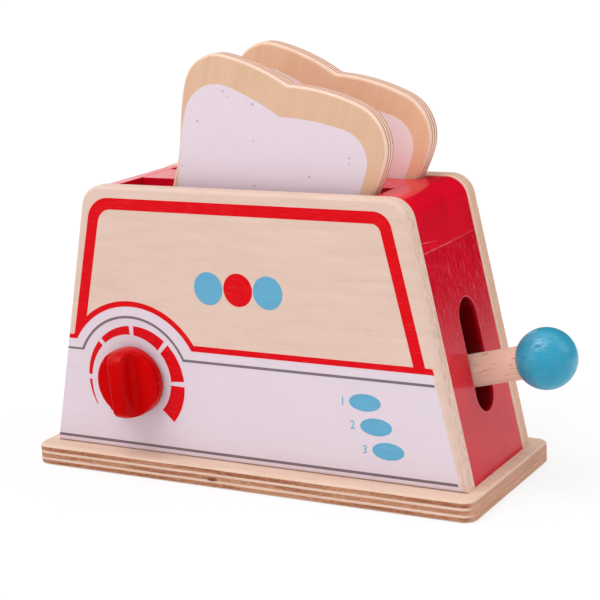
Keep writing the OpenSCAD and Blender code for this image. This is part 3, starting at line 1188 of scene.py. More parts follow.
    def hardwood(self, kind: Hardwood, lie: Lie) -> Material:
        """Sanded hardwood.

        Args:
            kind: Its kind.
            lie: How it lies: x runs with the grain.

        Returns:
            The material.
        """
        made = Finish(kind.name, lie)
        sheet = made.sheet
        grain = made.group(self.grain, made.vector)
        shade = sheet.mix(grain.outputs["Figure"], kind.light, kind.deep)
        shade = sheet.mix(sheet.times(grain.outputs["Streak"], kind.streak_share), shade, kind.deep)
        flecks = sheet.noise(made.vector, kind.fleck_scale, detail=1.0)
        shade = sheet.mix(sheet.span(flecks, *kind.fleck_span, 0.0, kind.fleck_share), shade, kind.fleck)
        made.feed(Base_Color=shade, Roughness=kind.roughness, Specular_IOR_Level=kind.gloss)
        made.bump(grain.outputs["Streak"], kind.bump, kind.bump_depth)
        return made.material

    @staticmethod
    def zinc(kind: Zinc) -> Material:
        """Zinc, duller and rougher in clouds.

        Args:
            kind: Its kind.

        Returns:
            The material.
        """
        made = Finish(kind.name, Lie())
        sheet = made.sheet
        cloud = sheet.noise(made.vector, kind.cloud_scale, detail=3.0)
        shade = sheet.mix(cloud, kind.light, kind.dull)
        roughness = sheet.span(cloud, *kind.cloud_span, *kind.roughness)
        made.feed(Base_Color=shade, Roughness=roughness, Metallic=1.0)
        return made.material


# --------------------------------------------------------------------------------------
# Pieces
# --------------------------------------------------------------------------------------


@dataclass
class BasePlate:
    """Plywood base with rounded corners and countersunk screw holes below."""

    finishes: Finishes
    width: float = 208.0
    depth: float = 84.5
    thickness: float = 9.0
    corner: float = 5.5
    eased: float = 1.2
    eased_steps: int = 4
    screw_span: float = 140.0
    screw_y: float = 29.0
    screw_r: float = 1.5
    screw_sink: float = 0.5
    screw_head: float = 1.6
    screw_steps: int = 24
    loose: float = 0.2

    def outline(self) -> list[Point]:
        """Outline in plan."""
        x, y = self.width / 2, self.depth / 2
        return rounded([(a, b, self.corner) for a, b in ((x, -y), (x, y), (-x, y), (-x, -y))])

    def countersink(self, x: float, y: float) -> Mesh:
        """Cutter of one screw hole.

        Args:
            x: Its place in width.
            y: Its place in depth.

        Returns:
            The cutter.
        """
        wide, narrow = 2 * self.screw_r + self.loose, self.screw_r + self.loose
        top = self.thickness + PAST
        profile = [
            (0, -PAST), (wide, -PAST), (wide, self.screw_sink),
            (narrow, self.screw_sink + self.screw_head), (narrow, top), (0, top),
        ]
        return place(turned(profile, self.screw_steps), move_by(x, y, 0))

    def build(self) -> None:
        """Builds the base."""
        bm = place(prism(self.outline(), -self.thickness, 0), turn_by(-90, "X"))
        ease(bm, self.eased, self.eased_steps, lambda e: abs(e.verts[0].co.z - e.verts[1].co.z) < TINY)
        piece = as_object(bm, "base_ply")
        across, along = self.screw_span / 2, self.screw_y
        carve(piece, [self.countersink(x, y) for x in (-across, 0, across) for y in (-along, along)])
        smooth(piece)
        # The layers sit low, so that the lowest dark layer nearly reaches the underside: partly the plies,
        # partly painted shade for the contact shadow along the bottom edge.
        kind = PlyWood(
            "base_birch", self.thickness, light=rgb(233, 205, 187), deep=rgb(224, 191, 169),
            cross=rgb(200, 144, 112), cross_deep=rgb(152, 92, 60), end_light=rgb(226, 178, 152),
            end_deep=rgb(184, 132, 104), glue=rgb(150, 94, 64), first=0.95, pitch=2.9, dark=1.7, skin=0.9,
            end_layers=0.2, knot=(-13.5, 5.2),
        )
        material = self.finishes.ply(kind, Lie((0, 0, self.thickness), (-90, 0, 0)))
        dress(piece, Body.TOASTER, material, ["base_plate"])


@dataclass
class SidePanels:
    """Front and back panels of the body."""

    finishes: Finishes
    outer_ease: float = 1.6
    outer_steps: int = 6
    inner_ease: float = 1.0
    inner_steps: int = 3
    dial: Point = DIAL_CENTRE
    dial_hole_r: float = 2.05
    dial_hole_reach: float = 20.0
    kind: PlyWood = PlyWood(
        "panel_birch", BODY.panel, light=rgb(231, 203, 190), deep=rgb(225, 195, 179),
        cross=rgb(233, 208, 190), cross_deep=rgb(224, 190, 170), end_light=rgb(250, 220, 206),
        end_deep=rgb(206, 166, 144), end_layers=0.1, glue_share=0.12,
    )
    back_kind: PlyWood = PlyWood(
        "back_birch", BODY.panel, cross=rgb(222, 182, 158), cross_deep=rgb(204, 160, 134),
        end_light=rgb(236, 194, 168), end_deep=rgb(206, 160, 132), end_layers=0.3, glue_share=0.35,
    )
    back_lie: Lie = Lie((30, -BODY.face_y, 4), (0, 0, 180))

    def panel(self, side: int, name: str) -> Piece:
        """One panel with rounded arrises.

        Args:
            side: -1 for the front, 1 for the back.
            name: Name of the piece.

        Returns:
            The piece.
        """
        outer, inner = side * BODY.depth / 2, side * BODY.inner_y
        bm = prism(BODY.outline(0), outer, inner)
        ease(bm, self.outer_ease, self.outer_steps, at_y(outer))
        ease(bm, self.inner_ease, self.inner_steps, at_y(inner))
        return as_object(bm, name)

    def build(self) -> None:
        """Builds both panels."""
        front = self.panel(-1, "front_panel_ply")
        hole = cylinder(self.dial_hole_r, -self.dial_hole_reach, self.dial_hole_reach)
        carve(front, [place(hole, move_by(self.dial[0], BODY.face_y, self.dial[1]) @ turn_by(90, "X"))])
        smooth(front)
        birch = self.finishes.ply(self.kind, Lie((0, BODY.face_y, 0)), PrintField())
        dress(front, Body.TOASTER, birch, ["front_panel"])
        back = self.panel(1, "back_panel_ply")
        smooth(back)
        birch = self.finishes.ply(self.back_kind, self.back_lie)
        dress(back, Body.TOASTER, birch, ["back_panel"])


@dataclass
class RedCore:
    """Lacquered end panels, top blocks and rail between the two birch panels."""

    finishes: Finishes
    slot_x: Point = (-62.43, 58.15)
    rail_y: Point = (-6.6, 15.4)
    rail_height: float = 12.0
    eased: float = 0.25
    panel_eased: float = 0.15
    eased_steps: int = 3
    eased_from: float = 35.0
    lever_slot_r: float = 8.55
    lever_slot: Point = (32.27, 62.80)
    lever_slot_steps: int = 24
    lever_reach: float = 20.0
    red: Colour = rgb(212, 2, 36)
    # The top blocks and rail take a lighter copy of the body's red: painted light for the stronger light
    # from above.
    lit_top_red: Colour = rgb(226, 2, 36)
    # Paler strokes where the grain shows through the lacquer, and partly a painted highlight that the
    # grain's small bumps would catch.
    stroke: Colour = rgb(230, 76, 98)

    def build(self) -> None:
        """Builds the core."""
        slope = math.degrees(BODY.slope)
        # Painted highlights on the right end panel's seam and slot rim, and painted shade inside its slot.
        painted_light = LeverEndPaintedLight(
            BODY.core_foot, BODY.slope, LEVER_Y, self.lever_slot_r, self.lever_slot, BODY.block_z
        )
        left = Lacquer("red_left", self.red, self.stroke, stroke_share=0.5)
        right = Lacquer("red_right", self.red, self.stroke, stroke_share=0.55)
        top = Lacquer("red_lit_top", self.lit_top_red, self.stroke, stroke_share=0.05)
        left = self.finishes.lacquer(left, Lie(turn=(0, 90 + slope, 0)))
        right = self.finishes.lacquer(right, Lie(turn=(0, 90 - slope, 0)), painted_light)
        top = self.finishes.lacquer(top, Lie(), painted_light)
        start, end = self.slot_x
        for piece, lacquer, node in (
            (self.end_panel(-1, "left_end_panel"), left, "left_end_panel"),
            (self.end_panel(1, "right_end_panel"), right, "right_end_panel"),
            (self.top_block("left_top_block", -BODY.foot_half, start), top, "left_top_block"),
            (self.top_block("right_top_block", end, BODY.foot_half), top, "right_top_block"),
            (self.rail("centre_rail"), top, "centre_rail"),
        ):
            dress(piece, Body.TOASTER, lacquer, [node])

    def end_panel(self, side: int, node: str) -> Piece:
        """One slanted end panel, the right one with the lever's slot.

        Args:
            side: -1 for the left one, 1 for the right one.
            node: Its CAD node.

        Returns:
            The piece.
        """
        foot, top = BODY.foot_z, BODY.block_z
        outer = BODY.core_recess
        inner = outer + BODY.end_panel
        corners = ((foot, outer), (top, outer), (top, inner), (foot, inner))
        outline = [(side * BODY.half_width(z, inset), z) for z, inset in corners]
        piece = as_object(prism(outline, -BODY.inner_y, BODY.inner_y), node + "_red")
        if side > 0:
            carve(piece, [self.lever_cutter()])
        return self.softened(piece, self.panel_eased)

    def top_block(self, node: str, left: float, right: float) -> Piece:
        """One block that closes the top beside the slots.

        Args:
            node: Its CAD node.
            left: Its left end in x.
            right: Its right end in x.

        Returns:
            The piece.
        """
        bm = prism(BODY.outline(BODY.core_recess), -BODY.inner_y, BODY.inner_y)
        for point, normal in (
            ((left, 0, 0), (-1, 0, 0)), ((right, 0, 0), (1, 0, 0)), ((0, 0, BODY.block_z), (0, 0, -1))
        ):
            rim = [g for g in bisected(bm, point, normal, drop=True) if isinstance(g, Edge)]
            if rim:
                bmesh.ops.contextual_create(bm, geom=rim)
                bmesh.ops.recalc_face_normals(bm, faces=bm.faces)
        return self.softened(as_object(bm, node + "_red"), self.eased)

    def rail(self, node: str) -> Piece:
        """Rail between the two slots.

        Args:
            node: Its CAD node.

        Returns:
            The piece.
        """
        (left, right), top = self.slot_x, BODY.core_top
        low = top - self.rail_height
        bm = prism([(left, low), (right, low), (right, top), (left, top)], *self.rail_y)
        return self.softened(as_object(bm, node + "_red"), self.eased)

    def softened(self, piece: Piece, width: float) -> Piece:
        """Rounds the edges of a piece and shades it.

        Args:
            piece: The piece.
            width: Radius of the rounding in millimetres.

        Returns:
            The same piece.
        """
        bevel = piece.modifiers.new("eased", "BEVEL")
        bevel.width, bevel.segments, bevel.limit_method = width * MM, self.eased_steps, "ANGLE"
        bevel.angle_limit = math.radians(self.eased_from)
        settle(piece)
        smooth(piece)
        return piece

    def lever_cutter(self) -> Mesh:
        """Cutter of the lever's slot, square to the right end panel.

        Returns:
            The cutter.
        """
        r, (low, high), steps = self.lever_slot_r, self.lever_slot, self.lever_slot_steps
        outline = arc((0, high), r, 0, 180, steps) + arc((0, low), r, 180, 360, steps)
        bm = prism(outline, -self.lever_reach, self.lever_reach)
        x, z = BODY.core_foot
        return place(bm, move_by(x, LEVER_Y, z) @ Matrix.Rotation(-BODY.slope, 4, "Y") @ turn_by(90, "Z"))


def left_end(z: float) -> Point:
    """Where a printed line starts at a height, a hair inside the panel's left edge."""
    return -BODY.half_width(z) + 0.1, z


@dataclass(frozen=True)
class ArchBand:
    """Band that runs in from the left edge, over an arch and on to the right.

    The line goes on to the right of the arch and the stub to its left; each pair holds the
    values of the lower and the upper edge.
    """

    centre: Point
    radius: float
    width: float
    line: Point
    stub: Point
    right: Point
    steps: int = 64

    def foot(self, radius: float, z: float) -> float:
        """Angle in degrees at which the arch, at a radius, meets a height."""
        return math.degrees(math.asin((z - self.centre[1]) / radius))

    def outline(self) -> list[Point]:
        """Outline of the band.

        Returns:
            Points as x and z.
        """
        outer, inner = self.radius, self.radius - self.width
        start, end = 180 - self.foot(outer, self.stub[1]), self.foot(outer, self.line[1])
        over = arc(self.centre, outer, start, end, self.steps)
        start, end = self.foot(inner, self.line[0]), 180 - self.foot(inner, self.stub[0])
        under = arc(self.centre, inner, start, end, self.steps)
        low, high = zip(self.right, self.line)
        return [left_end(self.stub[1])] + over + [high, low] + under + [left_end(self.stub[0])]


@dataclass
class FrontPrint:
    """Ink on the front face, as thin raised pieces.

    A corner of the frame has a radius as its third value, and ring_inner holds the ring's inner
    radius at several angles in degrees.
    """

    finishes: Finishes
    film: float = 0.05
    line_film: float = 0.06
    arris: float = 1.6
    arris_cuts: Sequence[float] = (2.0, 1.5, 1.0, 0.6, 0.3)
    frame_outer: Sequence[Place] = (
        (-84.9, 58.0, 0), (-71.1, 119.2, 11.0), (67.9, 119.2, 8.0), (81.9, 57.5, 0)
    )
    frame_inner: Sequence[Place] = (
        (76.9, 57.5, 0), (63.8, 114.3, 4.0), (-66.9, 114.3, 7.0), (-77.7, 66.6, 0)
    )
    frame_foot: Sequence[Point] = ((-79.8, 62.0), (-82.9, 58.0))
    red_line: ArchBand = ArchBand((-54.7, 38.95), 36.2, 2.35, (55.8, 58.3), (56.6, 58.4), (85.5, 84.8))
    grey_line: ArchBand = ArchBand((-55.4, 39.95), 28.75, 1.1, (50.9, 52.0), (51.8, 52.7), (85.6, 85.4))
    foot_line: tuple[Point, Point] = ((94.4, 11.4), (94.2, 12.6))
    ring_centre: Point = (-54.2, 40.05)
    ring_r: float = 24.35
    ring_inner: Sequence[Point] = (
        (-42, 17.0), (-10, 17.4), (20, 18.2), (60, 19.2), (100, 20.7), (165, 22.4), (180, 22.9), (210, 24.0)
    )
    ring_parts: Sequence[Point] = (
        (210, 182.6), (177.4, 138.0), (133.0, 94.6), (89.4, 50.6), (45.4, 4.7), (-0.7, -42)
    )
    ring_steps: int = 14
    blue_dots: Sequence[Point] = ((-15.2, 83.4), (12.9, 83.4))
    blue_dot_size: Point = (13.65, 13.95)
    red_dots: Sequence[Point] = ((-1.1, 83.65),)
    red_dot_size: Point = (13.55, 13.95)
    ovals: Sequence[Point] = ((54.9, 41.7), (59.5, 32.0), (64.5, 22.4))
    oval_size: Point = (14.1, 7.2)
    numbers: Sequence[tuple[str, float, float]] = (("1", 45.3, 41.6), ("2", 50.1, 32.0), ("3", 55.0, 22.3))
    number_height: float = 3.4

    def film_of(self, outline: Sequence[Point]) -> Mesh:
        """Thin film on the flat of the front face."""
        return prism(outline, BODY.face_y - self.film, BODY.face_y + self.film)

    def wrapped(self, outline: Sequence[Point], height: float) -> Mesh:
        """Thin film that follows the panel's rounded left arris.

        Args:
            outline: Its outline as x and z.
            height: How far it stands proud of the face.

        Returns:
            The film's mesh.
        """
        bm = prism(outline, BODY.face_y - height, BODY.face_y + self.film)
        bmesh.ops.triangulate(bm, faces=bm.faces)
        for inside in self.arris_cuts:
            foot = (-BODY.half_width(BODY.foot_z, inside), 0, BODY.foot_z)
            bisected(bm, foot, (1, 0, -math.tan(BODY.slope)))
        for vert in bm.verts:
            inside = (BODY.half_width(vert.co.z) - abs(vert.co.x)) * math.cos(BODY.slope)
            short = self.arris - max(0.0, min(self.arris, inside))
            vert.co.y += self.arris - math.sqrt(self.arris**2 - short**2)
        return bm

    def frame_outline(self) -> list[Point]:
        """Outline of the red frame, open at its foot."""
        return rounded(self.frame_outer) + rounded(self.frame_inner) + list(self.frame_foot)

    def ring_inner_r(self, angle: float) -> float:
        """Inner radius of the dial's ring, which thickens clockwise.

        Args:
            angle: Angle in degrees.

        Returns:
            The radius there.
        """
        for (a0, r0), (a1, r1) in zip(self.ring_inner, self.ring_inner[1:]):
            if a0 <= angle <= a1:
                return r0 + (r1 - r0) * (angle - a0) / (a1 - a0)
        return self.ring_inner[-1][1]

    def ring_part(self, start: float, end: float) -> list[Point]:
        """One part of the dial's ring.

        Args:
            start: Its first angle in degrees.
            end: Its last angle.

        Returns:
            The outline.
        """
        steps = self.ring_steps
        angles = [start + (end - start) * i / steps for i in range(steps + 1)]
        back = [polar(self.ring_centre, self.ring_inner_r(a), a) for a in reversed(angles)]
        return arc(self.ring_centre, self.ring_r, start, end, steps) + back

    def number(self, text: str, right: float, middle: float) -> Piece:
        """Plain number as a thin mesh.

        Args:
            text: The number.
            right: Its right end in x.
            middle: Its middle height.

        Returns:
            The piece, without its finish.
        """
        curve = bpy.data.curves.new("number_" + text, "FONT")
        curve.body, curve.size, curve.extrude = text, 1.0, 0.5
        made = in_scene("number_" + text, curve)
        mesh = evaluated(made)
        bpy.data.objects.remove(made)
        bm = bmesh.new()
        bm.from_mesh(mesh)
        bpy.data.meshes.remove(mesh)
        bmesh.ops.remove_doubles(bm, verts=bm.verts, dist=TINY)
        low, high = (Vector([end(v.co[i] for v in bm.verts) for i in range(3)]) for end in (min, max))
        size = self.number_height / (high.y - low.y)
        place(bm, move_by(-high.x, -(low.y + high.y) / 2, 0))
        place(bm, Matrix.Diagonal((size, size, 2 * self.film, 1)))
        place(bm, turn_by(90, "X"))
        place(bm, move_by(right, BODY.face_y, middle))
        bmesh.ops.recalc_face_normals(bm, faces=bm.faces)
        return as_object(bm, "number_" + text)

    def build(self) -> None:
        """Builds the print."""
        red = self.finishes.ink(Ink("print_red", rgb(222, 8, 22), scratched=0.12))
        grey = self.finishes.ink(Ink("print_grey", rgb(128, 112, 118)))
        blue = self.finishes.ink(Ink("print_blue", rgb(103, 172, 206)))
        low, high = self.foot_line
        foot_line = [left_end(low[1]), low, high, left_end(high[1])]
        for name, ink, films in (
            ("print_frame", red, [self.film_of(self.frame_outline())]),
            ("print_red_line", red, [self.wrapped(self.red_line.outline(), self.line_film)]),
            ("print_grey_line", grey, [self.wrapped(self.grey_line.outline(), self.film)]),
            ("print_foot_line", grey, [self.wrapped(foot_line, self.film)]),
            ("print_dial_ring", red, [self.film_of(self.ring_part(*part)) for part in self.ring_parts]),
            ("print_blue_dots", blue, [self.film_of(oval(c, self.blue_dot_size)) for c in self.blue_dots]),
            ("print_red_dot", red, [self.film_of(oval(c, self.red_dot_size)) for c in self.red_dots]),
            ("print_ovals", blue, [self.film_of(oval(c, self.oval_size)) for c in self.ovals]),
        ):
            dress(as_object(joined(films), name), Body.TOASTER, ink)
        for number in self.numbers:
            dress(self.number(*number), Body.TOASTER, blue)


@dataclass(frozen=True)
class SliceOutline:
    """Outline of a slice of toast: two lobes, a dip between them and a rounded foot."""

    width: float = 95.6
    foot_width: float = 86.2
    height: float = 101.0
    lobe_right: float = 18.5
    lobe_left: float = 16.3
    crown_r: float = 91.0
    crown_x: float = 23.0
    dip_left: float = 1.4
    swell: float = 37.5
    foot_r: float = 5.0
    dip_r: float = 6.0
    shift: float = 0.0
    lift: float = 0.0
    foot_steps: int = 8
    swell_steps: int = 16
    lobe_steps: int = 16
    crown_steps: int = 20
    dip_steps: int = 6

    def side(self, side: int) -> list[Point]:
        """One side of the outline, outwards from the middle.

        Args:
            side: 1 for the right side, -1 for the left one.

        Returns:
            Points from the foot to the dip.
        """
        r = self.lobe_right if side > 0 else self.lobe_left
        crown = (self.crown_x - side * self.dip_left, self.height - self.crown_r)
        x = self.width / 2 - r
        lobe = (x, crown[1] + math.sqrt((self.crown_r - r) ** 2 - (x - crown[0]) ** 2))
        join = math.degrees(math.atan2(lobe[1] - crown[1], lobe[0] - crown[0]))
        end = math.degrees(math.acos(-self.crown_x / self.crown_r))
        foot = (self.foot_width / 2 - self.foot_r, self.lift + self.foot_r)
        points = arc(foot, self.foot_r, -90, 0, self.foot_steps)
        for i in range(self.swell_steps + 1):
            share = i / self.swell_steps
            wider = (self.width - self.foot_width) * (1 - math.cos(math.pi * share)) / 2
            points.append(((self.foot_width + wider) / 2, lobe[1] - self.swell * (1 - share)))
        points += arc(lobe, r, 0, join, self.lobe_steps)[1:]
        return points + arc(crown, self.crown_r, join, end, self.crown_steps)[1:]

    def points(self) -> list[Point]:
        """Whole outline, with the slice's middle at x = 0 and its foot at z = 0.

        Returns:
            Points as x and z.
        """
        right, left = self.side(1), [(-x, z) for x, z in reversed(self.side(-1))]
        dip = rounded([(*right[-3], 0), (*right[-1], self.dip_r), (*left[2], 0)], self.dip_steps)
        return [(x + self.shift, z) for x, z in right[:-3] + dip + left[3:]]


@dataclass
class Cradle:
    """Frame of the rocking cradle, and what stands on it."""

    pivot: Point = (17.0, 40.0)
    tilt: float = 17.5
    reach: float = 34.3
    rise: float = 22.7
    stop: float = 8.0

    def matrix(self) -> Matrix:
        """The cradle's place at rest: x along it, z up from it, its origin at the pivot."""
        return move_by(self.pivot[0], 0, self.pivot[1]) @ turn_by(self.tilt, "Y")

    def slice_matrix(self, lean: float) -> Matrix:
        """Place of a slice.

        Args:
            lean: How much further than the cradle it leans, in degrees.

        Returns:
            Its place, with its foot's middle at the origin.
        """
        foot = SliceOutline().foot_width / 2 - self.reach
        hinge = self.matrix() @ move_by(foot, 0, self.rise + self.stop) @ turn_by(lean, "Y")
        return hinge @ move_by(-foot - self.reach, 0, -self.stop)


FRONT_SPECKS = (
    (-29.0, 86.3, 0.75), (-26.3, 84.9, 0.5), (-14.4, 85.6, 0.95), (-37.5, 70.7, 0.85), (-10.3, 71.2, 0.6),
    (-40.2, 50.3, 0.6), (32.6, 78.9, 0.7), (33.2, 76.6, 0.55), (17.6, 65.8, 0.8), (-5.5, 53.6, 0.7),
    (8.0, 38.0, 0.8), (-22.0, 30.0, 0.6), (25.0, 24.0, 0.7),
)


@dataclass
class Toast:
    """One slice with its printed crumb, whose specks have a place and a size each."""

    finishes: Finishes
    cradle: Cradle
    name: str
    body: Body
    front_y: float
    lean: float
    crust: Colour
    crust_deep: Colour
    thickness: float = 8.0
    eased: float = 1.6
    eased_steps: int = 5
    film: float = 0.05
    speck_film: float = 0.08
    crumb_colour: Colour = rgb(230, 213, 224)
    crumb_scratched: float = 0.08
    outline: SliceOutline = SliceOutline()
    crumb: SliceOutline = SliceOutline(
        width=85.1, foot_width=74.0, height=88.9, lobe_right=12.9, lobe_left=15.9, crown_r=109, crown_x=30.2,
        dip_left=-0.4, swell=50, foot_r=6, shift=-1.64, lift=5,
    )
    speck_colour: Colour = rgb(200, 183, 194)
    speck: Point = (1.9, 1.1)
    speck_steps: int = 10
    specks: Sequence[tuple[float, float, float]] = FRONT_SPECKS

    def wood(self, lie: Lie) -> Material:
        """Plywood of the slice, stained on its faces.

        Args:
            lie: How it lies.

        Returns:
            The material.
        """
        kind = PlyWood(
            self.name + "_crust", self.thickness, light=rgb(250, 220, 202), deep=rgb(244, 208, 186),
            cross=rgb(190, 136, 108), cross_deep=rgb(168, 116, 90), end_light=rgb(248, 216, 198),
            end_deep=rgb(236, 198, 176), first=1.5, pitch=2.1, dark=0.8, skin=0.25, glue_share=0.15,
            end_layers=1.0, stain=self.crust, stain_deep=self.crust_deep,
        )
        return self.finishes.ply(kind, lie)

    def dot(self, x: float, z: float, size: float) -> Mesh:
        """One speck at a place of the crumb."""
        outline = oval((x, z), (self.speck[0] * size, self.speck[1] * size), self.speck_steps)
        return prism(outline, self.front_y - self.speck_film, self.front_y)

    def build(self) -> None:
        """Builds the slice, its crumb and the crumb's specks."""
        where = self.cradle.slice_matrix(self.lean)
        front, back = self.front_y, self.front_y + self.thickness
        bm = prism(self.outline.points(), front, back)
        for y in (front, back):
            ease(bm, self.eased, self.eased_steps, at_y(y))
        piece = as_object(place(bm, where), self.name + "_slice")
        smooth(piece)
        lie = Lie(tuple(where @ Vector((0, front, 0))), (0, 90 + self.cradle.tilt + self.lean, 0))
        dress(piece, self.body, self.wood(lie), [self.name])
        bm = prism(self.crumb.points(), front - self.film, front + self.film)
        crumb = as_object(place(bm, where), self.name + "_crumb")
        ink = Ink(self.name + "_crumb_ink", self.crumb_colour, self.crumb_scratched)
        dress(crumb, self.body, self.finishes.ink(ink, lie))
        bm = joined(self.dot(*speck) for speck in self.specks)
        specks = as_object(place(bm, where), self.name + "_specks")
        ink = Ink(self.name + "_speck_ink", self.speck_colour)
        dress(specks, self.body, self.finishes.ink(ink, lie))


@dataclass
class Lever:
    """Dowel and ball at the rocker's right end."""

    finishes: Finishes
    cradle: Cradle
    bend: float = 31.6
    drop: float = 8.8
    rod_r: float = 6.8
    rod_start: float = 8.0
    rod_ease: float = 0.5
    rod_steps: int = 64
    ball_reach: float = 102.0
    ball_r: float = 12.5
    ball_socket: float = 14.0
    ball_steps: int = 96
    mouth: float = 0.35
    mouth_depth: float = 0.45
    mouth_step: Point = (0.1, 0.15)
    blue: Lacquer = Lacquer(
        "blue_satin", rgb(44, 168, 204), rgb(24, 116, 150), stroke_share=0.4, roughness=0.28, gloss=0.75,
        grain_depth=0.5,
    )
    wood: Hardwood = Hardwood("dowel_wood", rgb(250, 212, 194), rgb(230, 185, 163), rgb(164, 108, 82))

    def matrix(self) -> Matrix:
        """Place of the dowel: z along it, from the foot of the pivot's square on it.

        Returns:
            The place.
        """
        a = math.radians(self.bend)
        foot = Vector((math.sin(a), 0, -math.cos(a))) * self.drop
        return self.cradle.matrix() @ move_by(foot.x, LEVER_Y, foot.z) @ turn_by(90 - self.bend, "Y")

    def build(self) -> None:
        """Builds the dowel and the ball."""
        where = self.matrix()
        r, start, c = self.rod_r, self.rod_start, self.rod_ease
        end = self.ball_reach - self.ball_r + self.ball_socket
        profile = [(0, start), (r - c, start), (r, start + c), (r, end - c), (r - c, end), (0, end)]
        rod = as_object(place(turned(profile, self.rod_steps), where), "lever_dowel")
        smooth(rod, degrees=30)
        axis = Lie(tuple(where.translation), (0, self.cradle.tilt - self.bend, 0))
        dress(rod, Body.ROCKER, self.finishes.hardwood(self.wood, axis), ["lever_rod"])
        mouth = math.degrees(math.asin((r + self.mouth) / self.ball_r))
        shell = arc((0, self.ball_reach), self.ball_r, -90 + mouth, 90, self.ball_steps // 2)
        rim = shell[0][1]
        out, up = self.mouth_step
        profile = [(0, end), (r, end), (r, rim + self.mouth_depth), (r + out, rim + up)]
        ball = as_object(place(turned(profile + shell, self.ball_steps), where), "lever_ball_blue")
        smooth(ball, degrees=50)
        dress(ball, Body.ROCKER, self.finishes.lacquer(self.blue, axis), ["lever_ball"])


@dataclass
class DialKnob:
    """Turned knob whose front is a grip between two hollows."""

    finishes: Finishes
    centre: Point = DIAL_CENTRE
    gap: float = 1.2
    radius: float = 15.0
    height: float = 14.0
    foot_ease: float = 0.6
    rim: float = 6.9
    rim_round: float = 2.0
    grip: float = 6.2
    grip_start: float = 1.0
    grip_foot: float = 9.4
    grip_round: float = 0.9
    hollow: float = 2.6
    overlap: float = 0.1
    dome_foot: float = 0.5
    dome_inset: float = 0.3
    dome_steps: int = 10
    crest_r: float = 9.5
    turn: float = 4.0
    hole_r: float = 2.0
    hole_depth: float = 8.0
    steps: int = 96
    voxel: float = 0.25
    smoothing: tuple[float, int] = (0.5, 6)
    gloss: Lacquer = Lacquer(
        "red_knob", rgb(204, 0, 3), rgb(204, 0, 3), roughness=0.16, gloss=0.1, grain_depth=0.02
    )

    def disc(self) -> Mesh:
        """Disc under the grip.

        Returns:
            Its mesh.
        """
        profile = [(0, 0), (self.radius - self.foot_ease, 0), (self.radius, self.foot_ease)]
        r = self.rim_round
        profile += arc((self.radius - r, self.rim - r), r, 0, 90, self.dome_steps)
        return turned(profile + [(0, self.rim)], self.steps)

    def bar(self) -> Mesh:
        """Grip, longer than it will be.

        Returns:
            Its mesh.
        """
        crest, foot, far = self.grip / 2, self.grip_foot / 2, self.grip_foot
        low = self.rim - self.overlap
        right = [
            (far, self.grip_start, 0), (far, low, 0),
            (foot, self.rim, self.hollow), (crest, self.height, self.grip_round),
        ]
        left = [(-x, z, radius) for x, z, radius in right]
        return prism(rounded(left[:1] + right + left[:0:-1]), -self.radius, self.radius)

    def dome(self) -> Mesh:
        """Turned shape that rounds the grip's ends.

        Returns:
            Its mesh.
        """
        wide = self.radius - self.dome_inset
        out, rise = wide - self.crest_r, self.height - self.rim
        angles = [math.radians(90 * i / self.dome_steps) for i in range(self.dome_steps + 1)]
        shoulder = [(self.crest_r + out * math.cos(a), self.rim + rise * math.sin(a)) for a in angles]
        foot = [(0, self.dome_foot), (wide, self.dome_foot)]
        return turned(foot + shoulder + [(0, self.height)], self.steps)

    def build(self) -> None:
        """Builds the knob."""
        knob = as_object(self.bar(), "dial_knob_red")
        carve(knob, [self.dome()], "INTERSECT")
        carve(knob, [self.disc()], "UNION")
        remesh = knob.modifiers.new("skin", "REMESH")
        remesh.mode, remesh.voxel_size, remesh.use_smooth_shade = "VOXEL", self.voxel * MM, True
        soft = knob.modifiers.new("soft", "SMOOTH")
        soft.factor, soft.iterations = self.smoothing
        settle(knob)
        carve(knob, [cylinder(self.hole_r, -PAST, self.hole_depth)])
        x, z = self.centre
        where = move_by(x, BODY.face_y - self.gap, z) @ turn_by(90, "X") @ turn_by(self.turn, "Z")
        knob.data.transform(Matrix.Scale(MM, 4) @ where @ Matrix.Scale(1 / MM, 4))
        smooth(knob, degrees=60, weighted=False)
        lie = Lie((x, BODY.face_y, z), (0, 90, 0))
        dress(knob, Body.DIAL, self.finishes.lacquer(self.gloss, lie), ["dial_knob"])


@dataclass
class Inside:
    """Finishes of the rocker's parts and of the fixings, whose solids show as they are.

    A board of the cradle has a node, a thickness and the height of its top over the pivot.
    """

    finishes: Finishes
    cradle: Cradle
    crossing: Sequence[str] = ("pivot_pin", "front_spacer", "rear_spacer", "front_dowels", "back_dowels")
    metal: Sequence[str] = ("base_screws", "knob_screw", "knob_front_washer", "knob_back_washer")
    boards: Sequence[tuple[str, float, float]] = (
        ("cradle_board", 6.0, 22.4), ("cradle_batten", 12.0, 34.4), ("cradle_stop", 8.0, 30.4)
    )
    light_layer: float = 0.8
    outer_layers: float = 1.5

    def build(self) -> None:
        """Dresses the nodes."""
        where = self.cradle.matrix()
        along = Lie(tuple(where.translation), (0, self.cradle.tilt, 0))
        repaint("rocker_block", self.finishes.hardwood(Hardwood("block_beech"), along))
        beech = self.finishes.hardwood(Hardwood("cross_beech"), Lie(turn=(0, 0, 90)))
        for node in self.crossing:
            repaint(node, beech)
        repaint("rail_dowels", self.finishes.hardwood(Hardwood("rail_beech"), Lie()))
        for node, thickness, up in self.boards:
            pitch = (thickness - self.outer_layers) / 2
            kind = PlyWood(
                node + "_birch", thickness, first=1.0, pitch=pitch, dark=pitch - self.light_layer, skin=0.4
            )
            lie = Lie(tuple(where @ Vector((0, 0, up))), (-90, self.cradle.tilt, 0))
            repaint(node, self.finishes.ply(kind, lie))
        zinc = self.finishes.zinc(Zinc())
        for node in self.metal:
            repaint(node, zinc)


